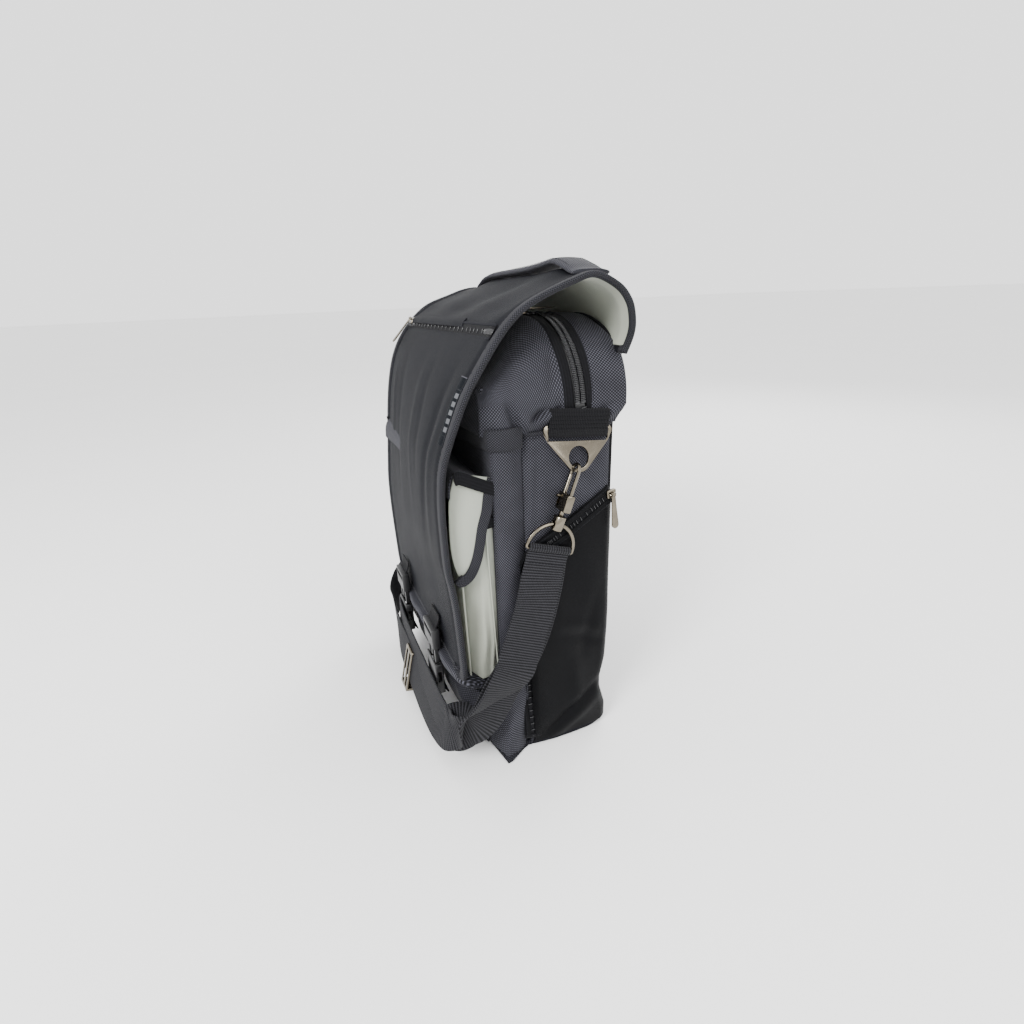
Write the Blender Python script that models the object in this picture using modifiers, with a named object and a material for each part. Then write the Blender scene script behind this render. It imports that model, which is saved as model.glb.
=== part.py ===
"""Flight bag: a soft satchel with a full front flap, two side-release clasps and a shoulder strap.

Metres, +Z up. The origin is the middle of the underside of the base. +X is the near side, -Y the
front (the flap's side), +Y the back panel. Pieces that touch keep GAP between them.
"""
import math

import bmesh
import bpy
from mathutils import Matrix, Vector

GAP = 0.0003

# Driving dimensions: main compartment
BODY_WIDTH = 0.244
BODY_BACK_Y = 0.0675
BODY_FRONT_Y = -0.0105
BACK_HEIGHT = 0.372
CORNER_RADIUS = 0.060
WALL = 0.003
FOAM = 0.006
ZIP_Y = 0.0345
ZIP_WIDTH = 0.0074
SIDE_SEAM_Z = 0.292

# The upper compartment bulges forward over the organiser pockets
YOKE_FRONT_Y = -0.041
YOKE_HEIGHT = 0.328
YOKE_RADIUS = 0.004
YOKE_CLEARANCE = 0.001

# Front pockets
ORGANISER_DEPTH = 0.022
ORGANISER_HEIGHT = 0.283
POCKET_WIDTH = 0.226
POCKET_DEPTH = 0.0285
POCKET_FLOOR_Z = 0.0845
POCKET_HEIGHT = 0.1435
POCKET_WALL = 0.002
ROLL_HEIGHT = 0.0145
BLOCK_TOP_Z = 0.0695

# Flap
FLAP_WIDTH = 0.250
FLAP_SKIN = 0.0022
FLAP_LINING = 0.0010
FLAP_ZIP_Z = 0.3655
FLAP_BOTTOM_Z = 0.092
LABEL_SIZE = (0.014, 0.052, 0.0007)
HANDLE_LENGTH = 0.180
HANDLE_RISE = 0.0095
HANDLE_WIDTH = 0.030
HANDLE_THICKNESS = 0.0045

# Side pockets
SKIN = 0.0015
SIDE_ZIP_WIDTH = 0.006
SIDE_ZIP_TOP = (0.066, 0.236)
SIDE_ZIP_BEND = (-0.0045, 0.1975)
SIDE_ZIP_FOOT_Z = 0.0146

# Strap hardware
TAB_Y = 0.034
TAB_WIDTH = 0.050
TAB_TOP_Z = 0.3065
TAB_TILT = math.radians(-6)
TAB_THICKNESS = 0.005
RING_BAR_Z = 0.2915
RING_WIDTH = 0.059
RING_THICKNESS = 0.0022
RING_HOLE_RADIUS = 0.00875
RING_RIM = 0.00275
RING_DROP = 0.0205
RING_SLOT = 0.0068
RING_BAR = 0.00135
RING_LEAN = math.radians(12.5)
HOOK_LEAN = math.radians(-20.7)
HOOK_WIRE = 0.0015
HOOK_BEND = 0.0048
HOOK_LENGTH = 0.0442
HOOK_BODY = (-0.0330, -0.0190)
BOLT_RADIUS = 0.00145
BOLT_TRAVEL = 0.006
SWIVEL_RADIUS = 0.005
RING_WIRE = 0.0016
WEBBING = 0.038
STRAP_THICKNESS = 0.0036
STRAP_FOLD = 0.0034
TRI_GLIDE = (0.0465, 0.020, 0.0090)
TRI_GLIDE_X = -0.0040

# Side-release clasps
CLASP_X = 0.058
CLASP_Y = -0.0790
CLASP_WIDTH = 0.030
CLASP_THICKNESS = 0.0076
SOCKET_Z = (0.047, 0.079)
PLUG_TOP_Z = 0.116
CLASP_WALL = 0.0014
PLUG_WEB_TOP_Z = 0.140
SOCKET_WEB_FOOT_Z = 0.046
WEB_THICKNESS = 0.0011

# Zip sliders
SLIDER_SIZE = (0.0085, 0.0070, 0.0032)
PULL_LENGTH = 0.030
PULL_THICKNESS = 0.0012
BAIL_RADIUS = 0.0006
BAIL_RISE = 0.0020
BARREL_RADIUS = 0.0016

HALF = BODY_WIDTH / 2
FOOT_Z = WALL + GAP
ORGANISER_Y = BODY_FRONT_Y - ORGANISER_DEPTH
POCKET_BACK_Y = ORGANISER_Y - WALL - GAP
POCKET_FRONT_Y = POCKET_BACK_Y - POCKET_DEPTH
ROLL_FRONT_Y = POCKET_FRONT_Y - 0.0065
SIDES = (("near", 1), ("far", -1))
COLORS = {
    "coarse_nylon": ((0.020, 0.021, 0.026), 0.75, 0.0),
    "flap_nylon": ((0.045, 0.047, 0.052), 0.55, 0.0),
    "pocket_nylon": ((0.014, 0.014, 0.016), 0.5, 0.0),
    "grey_lining": ((0.42, 0.44, 0.41), 0.7, 0.0),
    "webbing": ((0.022, 0.022, 0.024), 0.8, 0.0),
    "black_plastic": ((0.02, 0.02, 0.022), 0.35, 0.0),
    "nickel": ((0.62, 0.58, 0.52), 0.3, 1.0),
    "foam": ((0.10, 0.10, 0.11), 0.9, 0.0),
    "board": ((0.30, 0.24, 0.17), 0.9, 0.0),
}


def clear_scene():
    for item in list(bpy.data.objects):
        bpy.data.objects.remove(item, do_unlink=True)


def collection(name):
    found = bpy.data.collections.new(name)
    bpy.context.scene.collection.children.link(found)
    return found


def material(name, kind):
    color, roughness, metallic = COLORS[kind]
    made = bpy.data.materials.new(name)
    made.use_nodes = True
    shader = made.node_tree.nodes["Principled BSDF"]
    shader.inputs["Base Color"].default_value = (*color, 1.0)
    shader.inputs["Roughness"].default_value = roughness
    shader.inputs["Metallic"].default_value = metallic
    return made


def place(name, data, kind, parent=None):
    """Link an object for this data, as a part when it has a material and as a cutter when not."""
    made = bpy.data.objects.new(name, data)
    if kind is None:
        CUTTERS.objects.link(made)
        made.hide_render = True
        made.display_type = "WIRE"
    else:
        PARTS.objects.link(made)
        data.materials.append(material(name, kind))
    made.parent = parent
    return made


def pivot(name, location, turns=(0.0, 0.0, 0.0), parent=None):
    made = bpy.data.objects.new(name, None)
    PARTS.objects.link(made)
    made.location = location
    made.rotation_euler = turns
    made.parent = parent
    return made


def mesh_from(name, build):
    """A mesh from a function that fills a bmesh."""
    work = bmesh.new()
    build(work)
    bmesh.ops.recalc_face_normals(work, faces=work.faces[:])
    data = bpy.data.meshes.new(name)
    work.to_mesh(data)
    work.free()
    return data


def box(name, low, high, kind, parent=None, bevel=0.0):
    """A box between two corners, its origin at its middle, with optional rounded edges."""
    low, high = Vector(low), Vector(high)

    def build(work):
        bmesh.ops.create_cube(work, size=1.0)
        bmesh.ops.scale(work, vec=high - low, verts=work.verts[:])

    made = place(name, mesh_from(name, build), kind, parent)
    made.location = (low + high) / 2
    if bevel:
        soft = made.modifiers.new("soft_edges", "BEVEL")
        soft.width = bevel
        soft.segments = 2
    return made


def cylinder(name, start, end, radius, kind, parent=None, segments=14):
    start, end = Vector(start), Vector(end)
    run = end - start

    def build(work):
        bmesh.ops.create_cone(work, cap_ends=True, segments=segments, radius1=radius,
                              radius2=radius, depth=run.length)

    made = place(name, mesh_from(name, build), kind, parent)
    made.location = (start + end) / 2
    made.rotation_euler = run.to_track_quat("Z", "Y").to_euler()
    made.data.shade_smooth()
    made.data.set_sharp_from_angle(angle=math.radians(40))
    return made


def tube(name, points, radius, kind, parent=None, cyclic=False, resolution=1):
    """A round wire through the points, converted to a mesh with its caps welded."""
    curve = bpy.data.curves.new(name, "CURVE")
    curve.dimensions = "3D"
    curve.bevel_depth = radius
    curve.bevel_resolution = resolution
    curve.use_fill_caps = True
    spline = curve.splines.new("POLY")
    spline.points.add(len(points) - 1)
    for knot, point in zip(spline.points, points):
        knot.co = (*point, 1.0)
    spline.use_cyclic_u = cyclic
    return converted(name, curve, kind, parent)


PLANES = {
    "x": Matrix(((0, 0, 1), (1, 0, 0), (0, 1, 0))),
    "y": Matrix(((1, 0, 0), (0, 0, -1), (0, 1, 0))),
    "z": Matrix.Identity(3),
}


def prism(name, outlines, low, high, axis, kind, parent=None, bevel=0.0):
    """Flat outlines, the first solid and the others holes, extruded along an axis."""
    curve = bpy.data.curves.new(name, "CURVE")
    curve.dimensions = "2D"
    curve.fill_mode = "BOTH"
    curve.extrude = (high - low) / 2
    for outline in outlines:
        spline = curve.splines.new("POLY")
        spline.points.add(len(outline) - 1)
        for knot, (u, v) in zip(spline.points, outline):
            knot.co = (u, v, 0.0, 1.0)
        spline.use_cyclic_u = True
    made = converted(name, curve, kind, parent)
    turn = PLANES[axis].to_4x4()
    made.data.transform(turn)
    made.data.update()
    middle = (low + high) / 2
    made.location = {"x": (middle, 0, 0), "y": (0, middle, 0), "z": (0, 0, middle)}[axis]
    if bevel:
        soft = made.modifiers.new("soft_edges", "BEVEL")
        soft.width = bevel
        soft.segments = 2
        soft.angle_limit = math.radians(40)
    return made


def converted(name, curve, kind, parent):
    """The mesh of a curve, with its loose caps welded, as a part or a cutter."""
    guide = bpy.data.objects.new(name + "_guide", curve)
    CUTTERS.objects.link(guide)
    bpy.context.view_layer.update()
    ready = guide.evaluated_get(bpy.context.evaluated_depsgraph_get())
    data = bpy.data.meshes.new_from_object(ready)
    bpy.data.objects.remove(guide, do_unlink=True)
    work = bmesh.new()
    work.from_mesh(data)
    bmesh.ops.remove_doubles(work, verts=work.verts[:], dist=0.00001)
    bmesh.ops.recalc_face_normals(work, faces=work.faces[:])
    work.to_mesh(data)
    work.free()
    return place(name, data, kind, parent)


def loft(name, sections, kind, parent=None):
    """Closed loops of equal count joined in order, with a cap on each end."""
    count = len(sections[0])

    def build(work):
        loops = [[work.verts.new(point) for point in loop] for loop in sections]
        for first, second in zip(loops, loops[1:]):
            for k in range(count):
                following = (k + 1) % count
                work.faces.new((first[k], first[following], second[following], second[k]))
        work.faces.new(loops[0][::-1])
        work.faces.new(loops[-1])

    return place(name, mesh_from(name, build), kind, parent)


def combine(target, other, operation):
    change = target.modifiers.new(other.name, "BOOLEAN")
    change.operation = operation
    change.solver = "EXACT"
    change.object = other
    return target


def cut(target, *others):
    for other in others:
        combine(target, other, "DIFFERENCE")
    return target


def join(target, *others):
    for other in others:
        combine(target, other, "UNION")
    return target


def arc(centre, radius, start, end, count):
    """Points on a circle from one angle to another, in degrees."""
    angles = [math.radians(start + (end - start) * k / (count - 1)) for k in range(count)]
    return [(centre[0] + radius * math.cos(a), centre[1] + radius * math.sin(a)) for a in angles]


def arch(half, foot, top, radius, count=7):
    """A doorway line from the near foot over two rounded corners to the far foot."""
    near = arc((half - radius, top - radius), radius, 0, 90, count)
    far = [(-x, z) for x, z in reversed(near)]
    return [(half, foot), *near, *far, (-half, foot)]


def smooth(points, steps):
    """Catmull-Rom points through the given ones."""
    points = [Vector(p) for p in points]
    out = []
    for k in range(len(points) - 1):
        before = points[max(k - 1, 0)]
        start, end = points[k], points[k + 1]
        after = points[min(k + 2, len(points) - 1)]
        for step in range(steps):
            t = step / steps
            out.append(0.5 * (2 * start + (end - before) * t
                              + (2 * before - 5 * start + 4 * end - after) * t ** 2
                              + (3 * start - before - 3 * end + after) * t ** 3))
    return out + [points[-1]]


def offset(line, distance):
    """A flat line moved sideways by a distance, to the right of its direction."""
    moved = []
    for k, point in enumerate(line):
        run = line[min(k + 1, len(line) - 1)] - line[max(k - 1, 0)]
        side = Vector((run.y, -run.x)).normalized()
        moved.append(point + side * distance)
    return moved


def arch_strip(name, arch_a, y_a, arch_b, y_b, kind):
    """A gusset strip that follows one doorway line at y_a and another at y_b."""
    sections = []
    for (xa, za, ia, ja), (xb, zb, ib, jb) in zip(arch_a, arch_b):
        sections.append([(xa, y_a, za), (xb, y_b, zb), (ib, y_b, jb), (ia, y_a, ja)])
    return loft(name, sections, kind)


def walled_arch(half, foot, top, radius, wall):
    """Outer and inner doorway points side by side, as (x, z, inner x, inner z)."""
    outer = arch(half, foot, top, radius)
    inner = arch(half - wall, foot, top - wall, max(radius - wall, 0.002))
    return [(*o, *i) for o, i in zip(outer, inner)]


def roof_at(y):
    """Height and corner radius of the compartment's roof line at a depth."""
    share = min(1.0, max(0.0, (y - YOKE_FRONT_Y) / (0.020 - YOKE_FRONT_Y)))
    height = YOKE_HEIGHT + (BACK_HEIGHT - YOKE_HEIGHT) * share
    radius = YOKE_RADIUS + (CORNER_RADIUS - YOKE_RADIUS) * share
    return height, radius


def main_compartment():
    corner = 0.012
    low_y = BODY_FRONT_Y - ORGANISER_DEPTH - 0.0255
    base = [*arc((HALF - corner, BODY_BACK_Y - corner), corner, 0, 90, 4),
            *arc((corner - HALF, BODY_BACK_Y - corner), corner, 90, 180, 4),
            *arc((corner - HALF, low_y + corner), corner, 180, 270, 4),
            *arc((HALF - corner, low_y + corner), corner, 270, 360, 4)]
    prism("base_panel", [base], 0.0, WALL, "z", "coarse_nylon")
    inner = HALF - WALL - 2 * GAP
    inner_back = BODY_BACK_Y - WALL - GAP - FOAM - GAP
    inner_front = BODY_FRONT_Y + WALL + GAP
    box("base_board", (-inner + 0.002, inner_front + 0.001, FOOT_Z),
        (inner - 0.002, inner_back - 0.001, FOOT_Z + 0.0022), "board")
    back = arch(HALF, FOOT_Z, BACK_HEIGHT, CORNER_RADIUS)
    prism("back_panel", [back], BODY_BACK_Y - WALL, BODY_BACK_Y, "y", "coarse_nylon")
    foam_y = BODY_BACK_Y - WALL - GAP
    foam = arch(inner - 0.001, FOOT_Z, BACK_HEIGHT - WALL - 0.001, CORNER_RADIUS - WALL)
    prism("back_foam", [foam], foam_y - FOAM, foam_y, "y", "foam")
    box("main_front_panel", (-HALF, BODY_FRONT_Y, FOOT_Z),
        (HALF, BODY_FRONT_Y + WALL, SIDE_SEAM_Z), "coarse_nylon")
    box("padded_divider", (-inner + 0.006, inner_back - 0.0150, FOOT_Z + 0.0022 + GAP),
        (inner - 0.006, inner_back - 0.0110, 0.262), "grey_lining", bevel=0.0012)
    for side, sign in SIDES:
        xs = sorted((sign * (HALF - WALL), sign * HALF))
        box(f"side_gusset_{side}", (xs[0], BODY_FRONT_Y + WALL + GAP, FOOT_Z),
            (xs[1], BODY_BACK_Y - WALL - GAP, SIDE_SEAM_Z), "coarse_nylon")


def upper_compartment():
    """The yoke over the organiser, the two arched gusset strips and the zip chain between them."""
    seam = SIDE_SEAM_Z + GAP
    top = YOKE_HEIGHT - WALL - YOKE_CLEARANCE / 2
    profile = [(BODY_FRONT_Y + WALL, seam), (BODY_FRONT_Y + WALL, seam + WALL),
               (YOKE_FRONT_Y + WALL, seam + WALL), (YOKE_FRONT_Y + WALL, top),
               (YOKE_FRONT_Y, top), (YOKE_FRONT_Y, seam)]
    reach = HALF - WALL - YOKE_CLEARANCE
    prism("front_yoke", [profile], -reach, reach, "x", "coarse_nylon")
    zip_low, zip_high = ZIP_Y - ZIP_WIDTH / 2, ZIP_Y + ZIP_WIDTH / 2
    front_height, front_radius = roof_at(YOKE_FRONT_Y)
    start = walled_arch(HALF, seam, front_height, front_radius, WALL - GAP)
    middle = walled_arch(HALF, seam, *roof_at(0.020), WALL)
    end = walled_arch(HALF, seam, BACK_HEIGHT, CORNER_RADIUS, WALL)
    sections = []
    for a, b, c in zip(start, middle, end):
        ys = (YOKE_FRONT_Y, 0.020, zip_low - GAP)
        outer = [(p[0], y, p[1]) for p, y in zip((a, b, c), ys)]
        inner = [(p[2], y, p[3]) for p, y in zip((a, b, c), ys)]
        sections.append(outer + inner[::-1])
    loft("top_gusset_front", sections, "coarse_nylon")
    arch_strip("top_gusset_back", end, zip_high + GAP, end, BODY_BACK_Y - WALL - GAP,
               "coarse_nylon")
    chain = walled_arch(HALF - 0.0004, seam, BACK_HEIGHT - 0.0004, CORNER_RADIUS - 0.0004, 0.0022)
    arch_strip("main_zip_chain", chain, zip_low, chain, zip_high, "black_plastic")


def front_pockets():
    half_pocket = POCKET_WIDTH / 2
    box("organiser_wall", (-HALF, ORGANISER_Y - WALL + GAP, FOOT_Z),
        (HALF, ORGANISER_Y, ORGANISER_HEIGHT), "coarse_nylon")
    for side, sign in SIDES:
        xs = sorted((sign * (HALF - WALL), sign * HALF))
        box(f"organiser_side_{side}", (xs[0], ORGANISER_Y + GAP, FOOT_Z),
            (xs[1], BODY_FRONT_Y - GAP, SIDE_SEAM_Z - 0.002), "coarse_nylon")
        low = min(sign * half_pocket, sign * (half_pocket - POCKET_WALL))
        box(f"bellows_side_{side}", (low, POCKET_FRONT_Y + POCKET_WALL + GAP, POCKET_FLOOR_Z + GAP),
            (low + POCKET_WALL, POCKET_BACK_Y - GAP, POCKET_FLOOR_Z + POCKET_HEIGHT), "grey_lining")
    box("bellows_front", (-half_pocket, POCKET_FRONT_Y, POCKET_FLOOR_Z + GAP),
        (half_pocket, POCKET_FRONT_Y + POCKET_WALL, POCKET_FLOOR_Z + POCKET_HEIGHT), "grey_lining")
    box("bellows_roll", (-HALF + 0.003, ROLL_FRONT_Y, POCKET_FLOOR_Z - ROLL_HEIGHT),
        (HALF - 0.003, POCKET_BACK_Y - GAP, POCKET_FLOOR_Z), "coarse_nylon", bevel=0.005)
    block = [(POCKET_BACK_Y - GAP, FOOT_Z), (ORGANISER_Y - 0.0255, FOOT_Z),
             (ROLL_FRONT_Y, 0.045), (ROLL_FRONT_Y, BLOCK_TOP_Z), (POCKET_BACK_Y - GAP, BLOCK_TOP_Z)]
    prism("lower_front_pad", [block], -HALF, HALF, "x", "coarse_nylon", bevel=0.003)
    hang_y = POCKET_FRONT_Y + POCKET_WALL + 0.0150
    cover = smooth([(POCKET_BACK_Y - 0.001, 0.266), (POCKET_BACK_Y - 0.010, 0.262),
                    (hang_y - 0.0020, 0.250), (hang_y - 0.0035, 0.236)], 3)
    inside = offset(cover, -0.0018)
    outline = [*cover, *inside[::-1]]
    prism("pocket_cover", [outline], -half_pocket + 0.008, half_pocket - 0.008, "x", "grey_lining")


def side_pockets():
    for side, sign in SIDES:
        low_x = HALF + GAP
        zip_line = smooth([SIDE_ZIP_TOP, (0.030, 0.2163), SIDE_ZIP_BEND, (-0.0105, 0.185),
                           (-0.0115, 0.160), (-0.0115, 0.080), (-0.0110, SIDE_ZIP_FOOT_Z)], 2)
        edge_out = offset(zip_line, SIDE_ZIP_WIDTH / 2)
        edge_in = offset(zip_line, -SIDE_ZIP_WIDTH / 2)
        xs = sorted((sign * low_x, sign * (low_x + SKIN)))
        prism(f"side_zip_{side}", [[*edge_out, *edge_in[::-1]]], *xs, "x", "black_plastic")
        border = offset(zip_line, -(SIDE_ZIP_WIDTH / 2 + GAP))
        panel = [*border, (border[-1].x, 0.006), (SIDE_ZIP_TOP[0], 0.006)]
        prism(f"side_pocket_{side}", [panel], *xs, "x", "pocket_nylon")


def flap_profile():
    """The flap's outer line from its seam on the back, over the top and down the front."""
    return smooth([(0.0735, 0.345), (0.0800, 0.362), (0.0785, 0.377), (0.0710, 0.389),
                   (0.0580, 0.3975), (0.0440, 0.3995), (0.0215, 0.3940), (-0.0075, 0.3810),
                   (-0.0275, 0.3625), (-0.0405, 0.3450), (-0.0565, 0.3200), (-0.0685, 0.2930),
                   (-0.0760, 0.2620), (-0.0775, 0.2150), (-0.0750, 0.1700), (-0.0725, 0.1300),
                   (-0.0700, FLAP_BOTTOM_Z)], 2)


def at_height(line, z):
    """The front point of the flap's line at a height, with the line's direction there."""
    for start, end in zip(line[10:], line[11:]):
        if start.y >= z >= end.y:
            share = (start.y - z) / (start.y - end.y)
            return start.lerp(end, share), (end - start).normalized()
    return line[-1], (line[-1] - line[-2]).normalized()


def flap():
    outer = flap_profile()
    inside = offset(outer, -FLAP_SKIN)
    half = FLAP_WIDTH / 2
    prism("flap_panel", [[*outer, *inside[::-1]]], -half, half, "x", "flap_nylon")
    lining_out = offset(outer, -(FLAP_SKIN + GAP))
    lining_in = offset(outer, -(FLAP_SKIN + GAP + FLAP_LINING))
    prism("flap_lining", [[*lining_out, *lining_in[::-1]]], -half + 0.006, half - 0.006, "x",
          "grey_lining")
    point, run = at_height(outer, FLAP_ZIP_Z)
    normal = Vector((run.y, -run.x))
    spot = point + normal * 0.0011
    facing = math.atan2(normal.y, normal.x)
    rail = pivot("flap_zip_line", (0, spot.x, spot.y), (facing - math.pi / 2, 0, 0))
    box("flap_zip_chain", (-0.118, -0.003, -0.0006), (0.116, 0.003, 0.0010), "black_plastic", rail)
    slider("flap", Vector((-0.108, 0, 0.0013)), rail, (0, 0, 0))
    top, label_run = at_height(outer, 0.318)
    out = Vector((label_run.y, -label_run.x))
    spot = top + out * 0.0012
    tag = pivot("label_place", (0.103, spot.x, spot.y),
                (math.atan2(out.y, out.x) - math.pi / 2, 0, 0))
    box("side_label", (-LABEL_SIZE[0] / 2, -LABEL_SIZE[1] / 4, -LABEL_SIZE[2] / 2),
        (LABEL_SIZE[0] / 2, LABEL_SIZE[1] / 4, LABEL_SIZE[2] / 2), "webbing", tag)
    handle(max(p.y for p in outer) + 0.0008)


def handle(foot):
    """A flat padded grab handle: two feet on the flap and a low arch between them."""
    half = HANDLE_LENGTH / 2
    line = [Vector(p) for p in ((-half, foot), (-half + 0.017, foot), (-half + 0.034, foot + HANDLE_RISE),
                                (half - 0.034, foot + HANDLE_RISE), (half - 0.017, foot), (half, foot))]
    upper = [p + Vector((0, HANDLE_THICKNESS)) for p in line]
    middle = 0.0545
    prism("grab_handle", [[*line, *upper[::-1]]], middle - HANDLE_WIDTH / 2,
          middle + HANDLE_WIDTH / 2, "y", "coarse_nylon")


def slider(name, seat, parent, turns):
    """A zip slider on its seat, with a bail, and its long pull that turns about the bail's bar.

    In the slider's own frame X is the bail's bar, Z is away from the cloth and the pull lies
    towards -Y.
    """
    base = pivot(f"{name}_slider_place", seat, turns, parent)
    length, width, height = SLIDER_SIZE
    body = box(f"{name}_slider", (-length / 2, -width / 2, 0), (length / 2, width / 2, height),
               "nickel", base, bevel=0.0008)
    bar_z = height + BAIL_RISE
    reach = length / 2 - 0.0016
    wire = [(-reach, 0, height - 0.0008), (-reach, 0, bar_z - 0.0006), (-reach + 0.0006, 0, bar_z),
            (reach - 0.0006, 0, bar_z), (reach, 0, bar_z - 0.0006), (reach, 0, height - 0.0008)]
    join(body, tube(f"{name}_bail", wire, BAIL_RADIUS, None, base))
    barrel_half = reach - BAIL_RADIUS - GAP
    outline = [(-barrel_half, 0), (-0.0019, -0.008), *arc((0, 0.0031 - PULL_LENGTH), 0.0031, 180, 360, 7),
               (0.0019, -0.008), (barrel_half, 0)]
    hang = pivot(f"{name}_pull_pivot", (0, 0, bar_z), (0, 0, 0), base)
    pull = prism(f"{name}_pull", [outline], -PULL_THICKNESS / 2, PULL_THICKNESS / 2, "z",
                 "nickel", hang)
    barrel = cylinder(f"{name}_pull_barrel", (-barrel_half, 0, 0), (barrel_half, 0, 0),
                      BARREL_RADIUS, None, hang, segments=12)
    bore = cylinder(f"{name}_pull_bore", (-0.01, 0, 0), (0.01, 0, 0), BAIL_RADIUS + GAP, None, hang,
                    segments=10)
    join(pull, barrel)
    cut(pull, bore)
    return base


def ring_plate(side, sign):
    """A triangular plate with a round hole, its top bar held by a folded webbing tab."""
    bar_x = sign * (HALF + GAP + TAB_THICKNESS / 2)
    hang = pivot(f"ring_pivot_{side}", (bar_x, TAB_Y, RING_BAR_Z), (TAB_TILT, 0, 0))
    top, drop = TAB_TOP_Z - RING_BAR_Z, -0.0066
    reach = TAB_THICKNESS / 2
    tab = box(f"ring_tab_{side}", (-reach, -TAB_WIDTH / 2, drop), (reach, TAB_WIDTH / 2, top),
              "webbing", hang, bevel=0.0010)
    slot = box(f"tab_slot_{side}", (-0.0016, -TAB_WIDTH, -0.0042), (0.0016, TAB_WIDTH, 0.0021),
               None, hang)
    cut(tab, slot)
    plate = pivot(f"plate_pivot_{side}", (0, 0, 0), (0, -sign * RING_LEAN, 0), hang)
    rim = RING_HOLE_RADIUS + RING_RIM
    wing = 0.0035
    edge = RING_WIDTH / 2 - wing
    outline = [*arc((-edge, 0.0), wing, 90, 205, 5), *arc((0, -RING_DROP), rim, 215, 325, 8),
               *arc((edge, 0.0), wing, -25, 90, 5)]
    hole = arc((0, -RING_DROP), RING_HOLE_RADIUS, 0, 345, 24)
    gap_half = TAB_WIDTH / 2 + 0.0008
    window = [(-gap_half, -RING_BAR - RING_SLOT), (gap_half, -RING_BAR - RING_SLOT),
              (gap_half, -RING_BAR), (-gap_half, -RING_BAR)]
    ring = prism(f"ring_{side}", [outline, hole, window], -RING_THICKNESS / 2,
                 RING_THICKNESS / 2, "x", "nickel", plate)
    trim = box(f"ring_trim_{side}", (-0.01, -gap_half, RING_BAR), (0.01, gap_half, 0.02), None, plate)
    cut(ring, trim)


def hook_point(sign, below):
    """The point a distance down the hook's length from the middle of the ring's rim."""
    reach = RING_DROP + RING_HOLE_RADIUS + RING_RIM / 2
    x = sign * (HALF + GAP + TAB_THICKNESS / 2 + reach * math.sin(RING_LEAN))
    drop = RING_DROP * math.cos(RING_LEAN)
    hole_y = TAB_Y + drop * math.sin(TAB_TILT)
    hole_z = RING_BAR_Z - drop * math.cos(TAB_TILT)
    down = (RING_HOLE_RADIUS + RING_RIM / 2) * math.cos(RING_LEAN) + below
    return Vector((x, hole_y + down * math.sin(HOOK_LEAN), hole_z - down * math.cos(HOOK_LEAN)))


def hook(side, sign):
    """A swivel bolt snap: hook and body in one, a sliding bolt, a swivel barrel and the D-ring.

    In the hook's own frame Z runs up its length from the middle of the ring's rim and +X is
    away from the bag on both sides.
    """
    base = pivot(f"hook_pivot_{side}", hook_point(sign, 0.0), (HOOK_LEAN, 0, 0))
    s, b = sign, HOOK_BEND
    over = [(s * px, 0, pz) for px, pz in arc((0, 0), b, 0, 180, 9)]
    wire = [(s * b, 0, -0.022), *over, (-s * b, 0, -0.0040)]
    body_low, body_top = HOOK_BODY
    bolt_end = body_low + 0.0020 + BOLT_TRAVEL
    knob_z = bolt_end + 0.0025
    neck_end = -HOOK_LENGTH + 0.0038
    spread = b + 0.0026
    body = box(f"hook_{side}", (-spread, -0.0034, body_low), (spread, 0.0034, body_top), "nickel",
               base, bevel=0.0012)
    bore = cylinder(f"bolt_bore_{side}", (-s * b, 0, body_low + 0.0015),
                    (-s * b, 0, body_top + 0.002),
                    BOLT_RADIUS + 0.0003, None, base)
    slot_x = sorted((-s * b - 0.0016, -s * b + 0.0016))
    slot = box(f"knob_slot_{side}", (slot_x[0], -0.006, knob_z - BOLT_TRAVEL - 0.0016),
               (slot_x[1], 0, knob_z + 0.0016), None, base)
    neck = cylinder(f"hook_neck_{side}", (0, 0, body_low + 0.002), (0, 0, neck_end), 0.0021,
                    None, base)
    join(body, tube(f"hook_bend_{side}", wire, HOOK_WIRE, None, base), neck)
    cut(body, bore, slot)
    bolt = cylinder(f"bolt_{side}", (-s * b, 0, bolt_end), (-s * b, 0, -0.0045), BOLT_RADIUS,
                    "nickel", base)
    knob = cylinder(f"bolt_knob_{side}", (-s * b, 0, knob_z), (-s * b, -0.0062, knob_z), 0.0012,
                    None, base, segments=10)
    join(bolt, knob)
    swivel = cylinder(f"swivel_{side}", (0, 0, -HOOK_LENGTH - 0.0048), (0, 0, neck_end + 0.003),
                      SWIVEL_RADIUS, "nickel", base, segments=18)
    seat = cylinder(f"swivel_seat_{side}", (0, 0, neck_end - GAP), (0, 0, neck_end + 0.004),
                    0.0024, None, base)
    eye = cylinder(f"swivel_eye_{side}", (0, -0.02, -HOOK_LENGTH), (0, 0.02, -HOOK_LENGTH),
                   RING_WIRE + 0.0010, None, base)
    cut(swivel, seat, eye)
    radius = d_ring_radius()
    loop = [(0, py, pz) for py, pz in arc((0, -HOOK_LENGTH - radius), radius, 0, 180, 17)]
    ends = [(0, -radius + 0.001, -HOOK_LENGTH - radius - 0.0010),
            (0, radius - 0.001, -HOOK_LENGTH - radius - 0.0010)]
    tube(f"d_ring_{side}", [*loop, *ends], RING_WIRE, "nickel", base, cyclic=True)
    return base


def fold_drop():
    """How far below the ring's rim the strap's fold goes round the D-ring's bar."""
    return HOOK_LENGTH + d_ring_radius() + 0.0010


def d_ring_radius():
    """Half the width of the D-ring's wire line: the webbing fits inside it."""
    return WEBBING / 2 + 0.0004 + RING_WIRE


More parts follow.
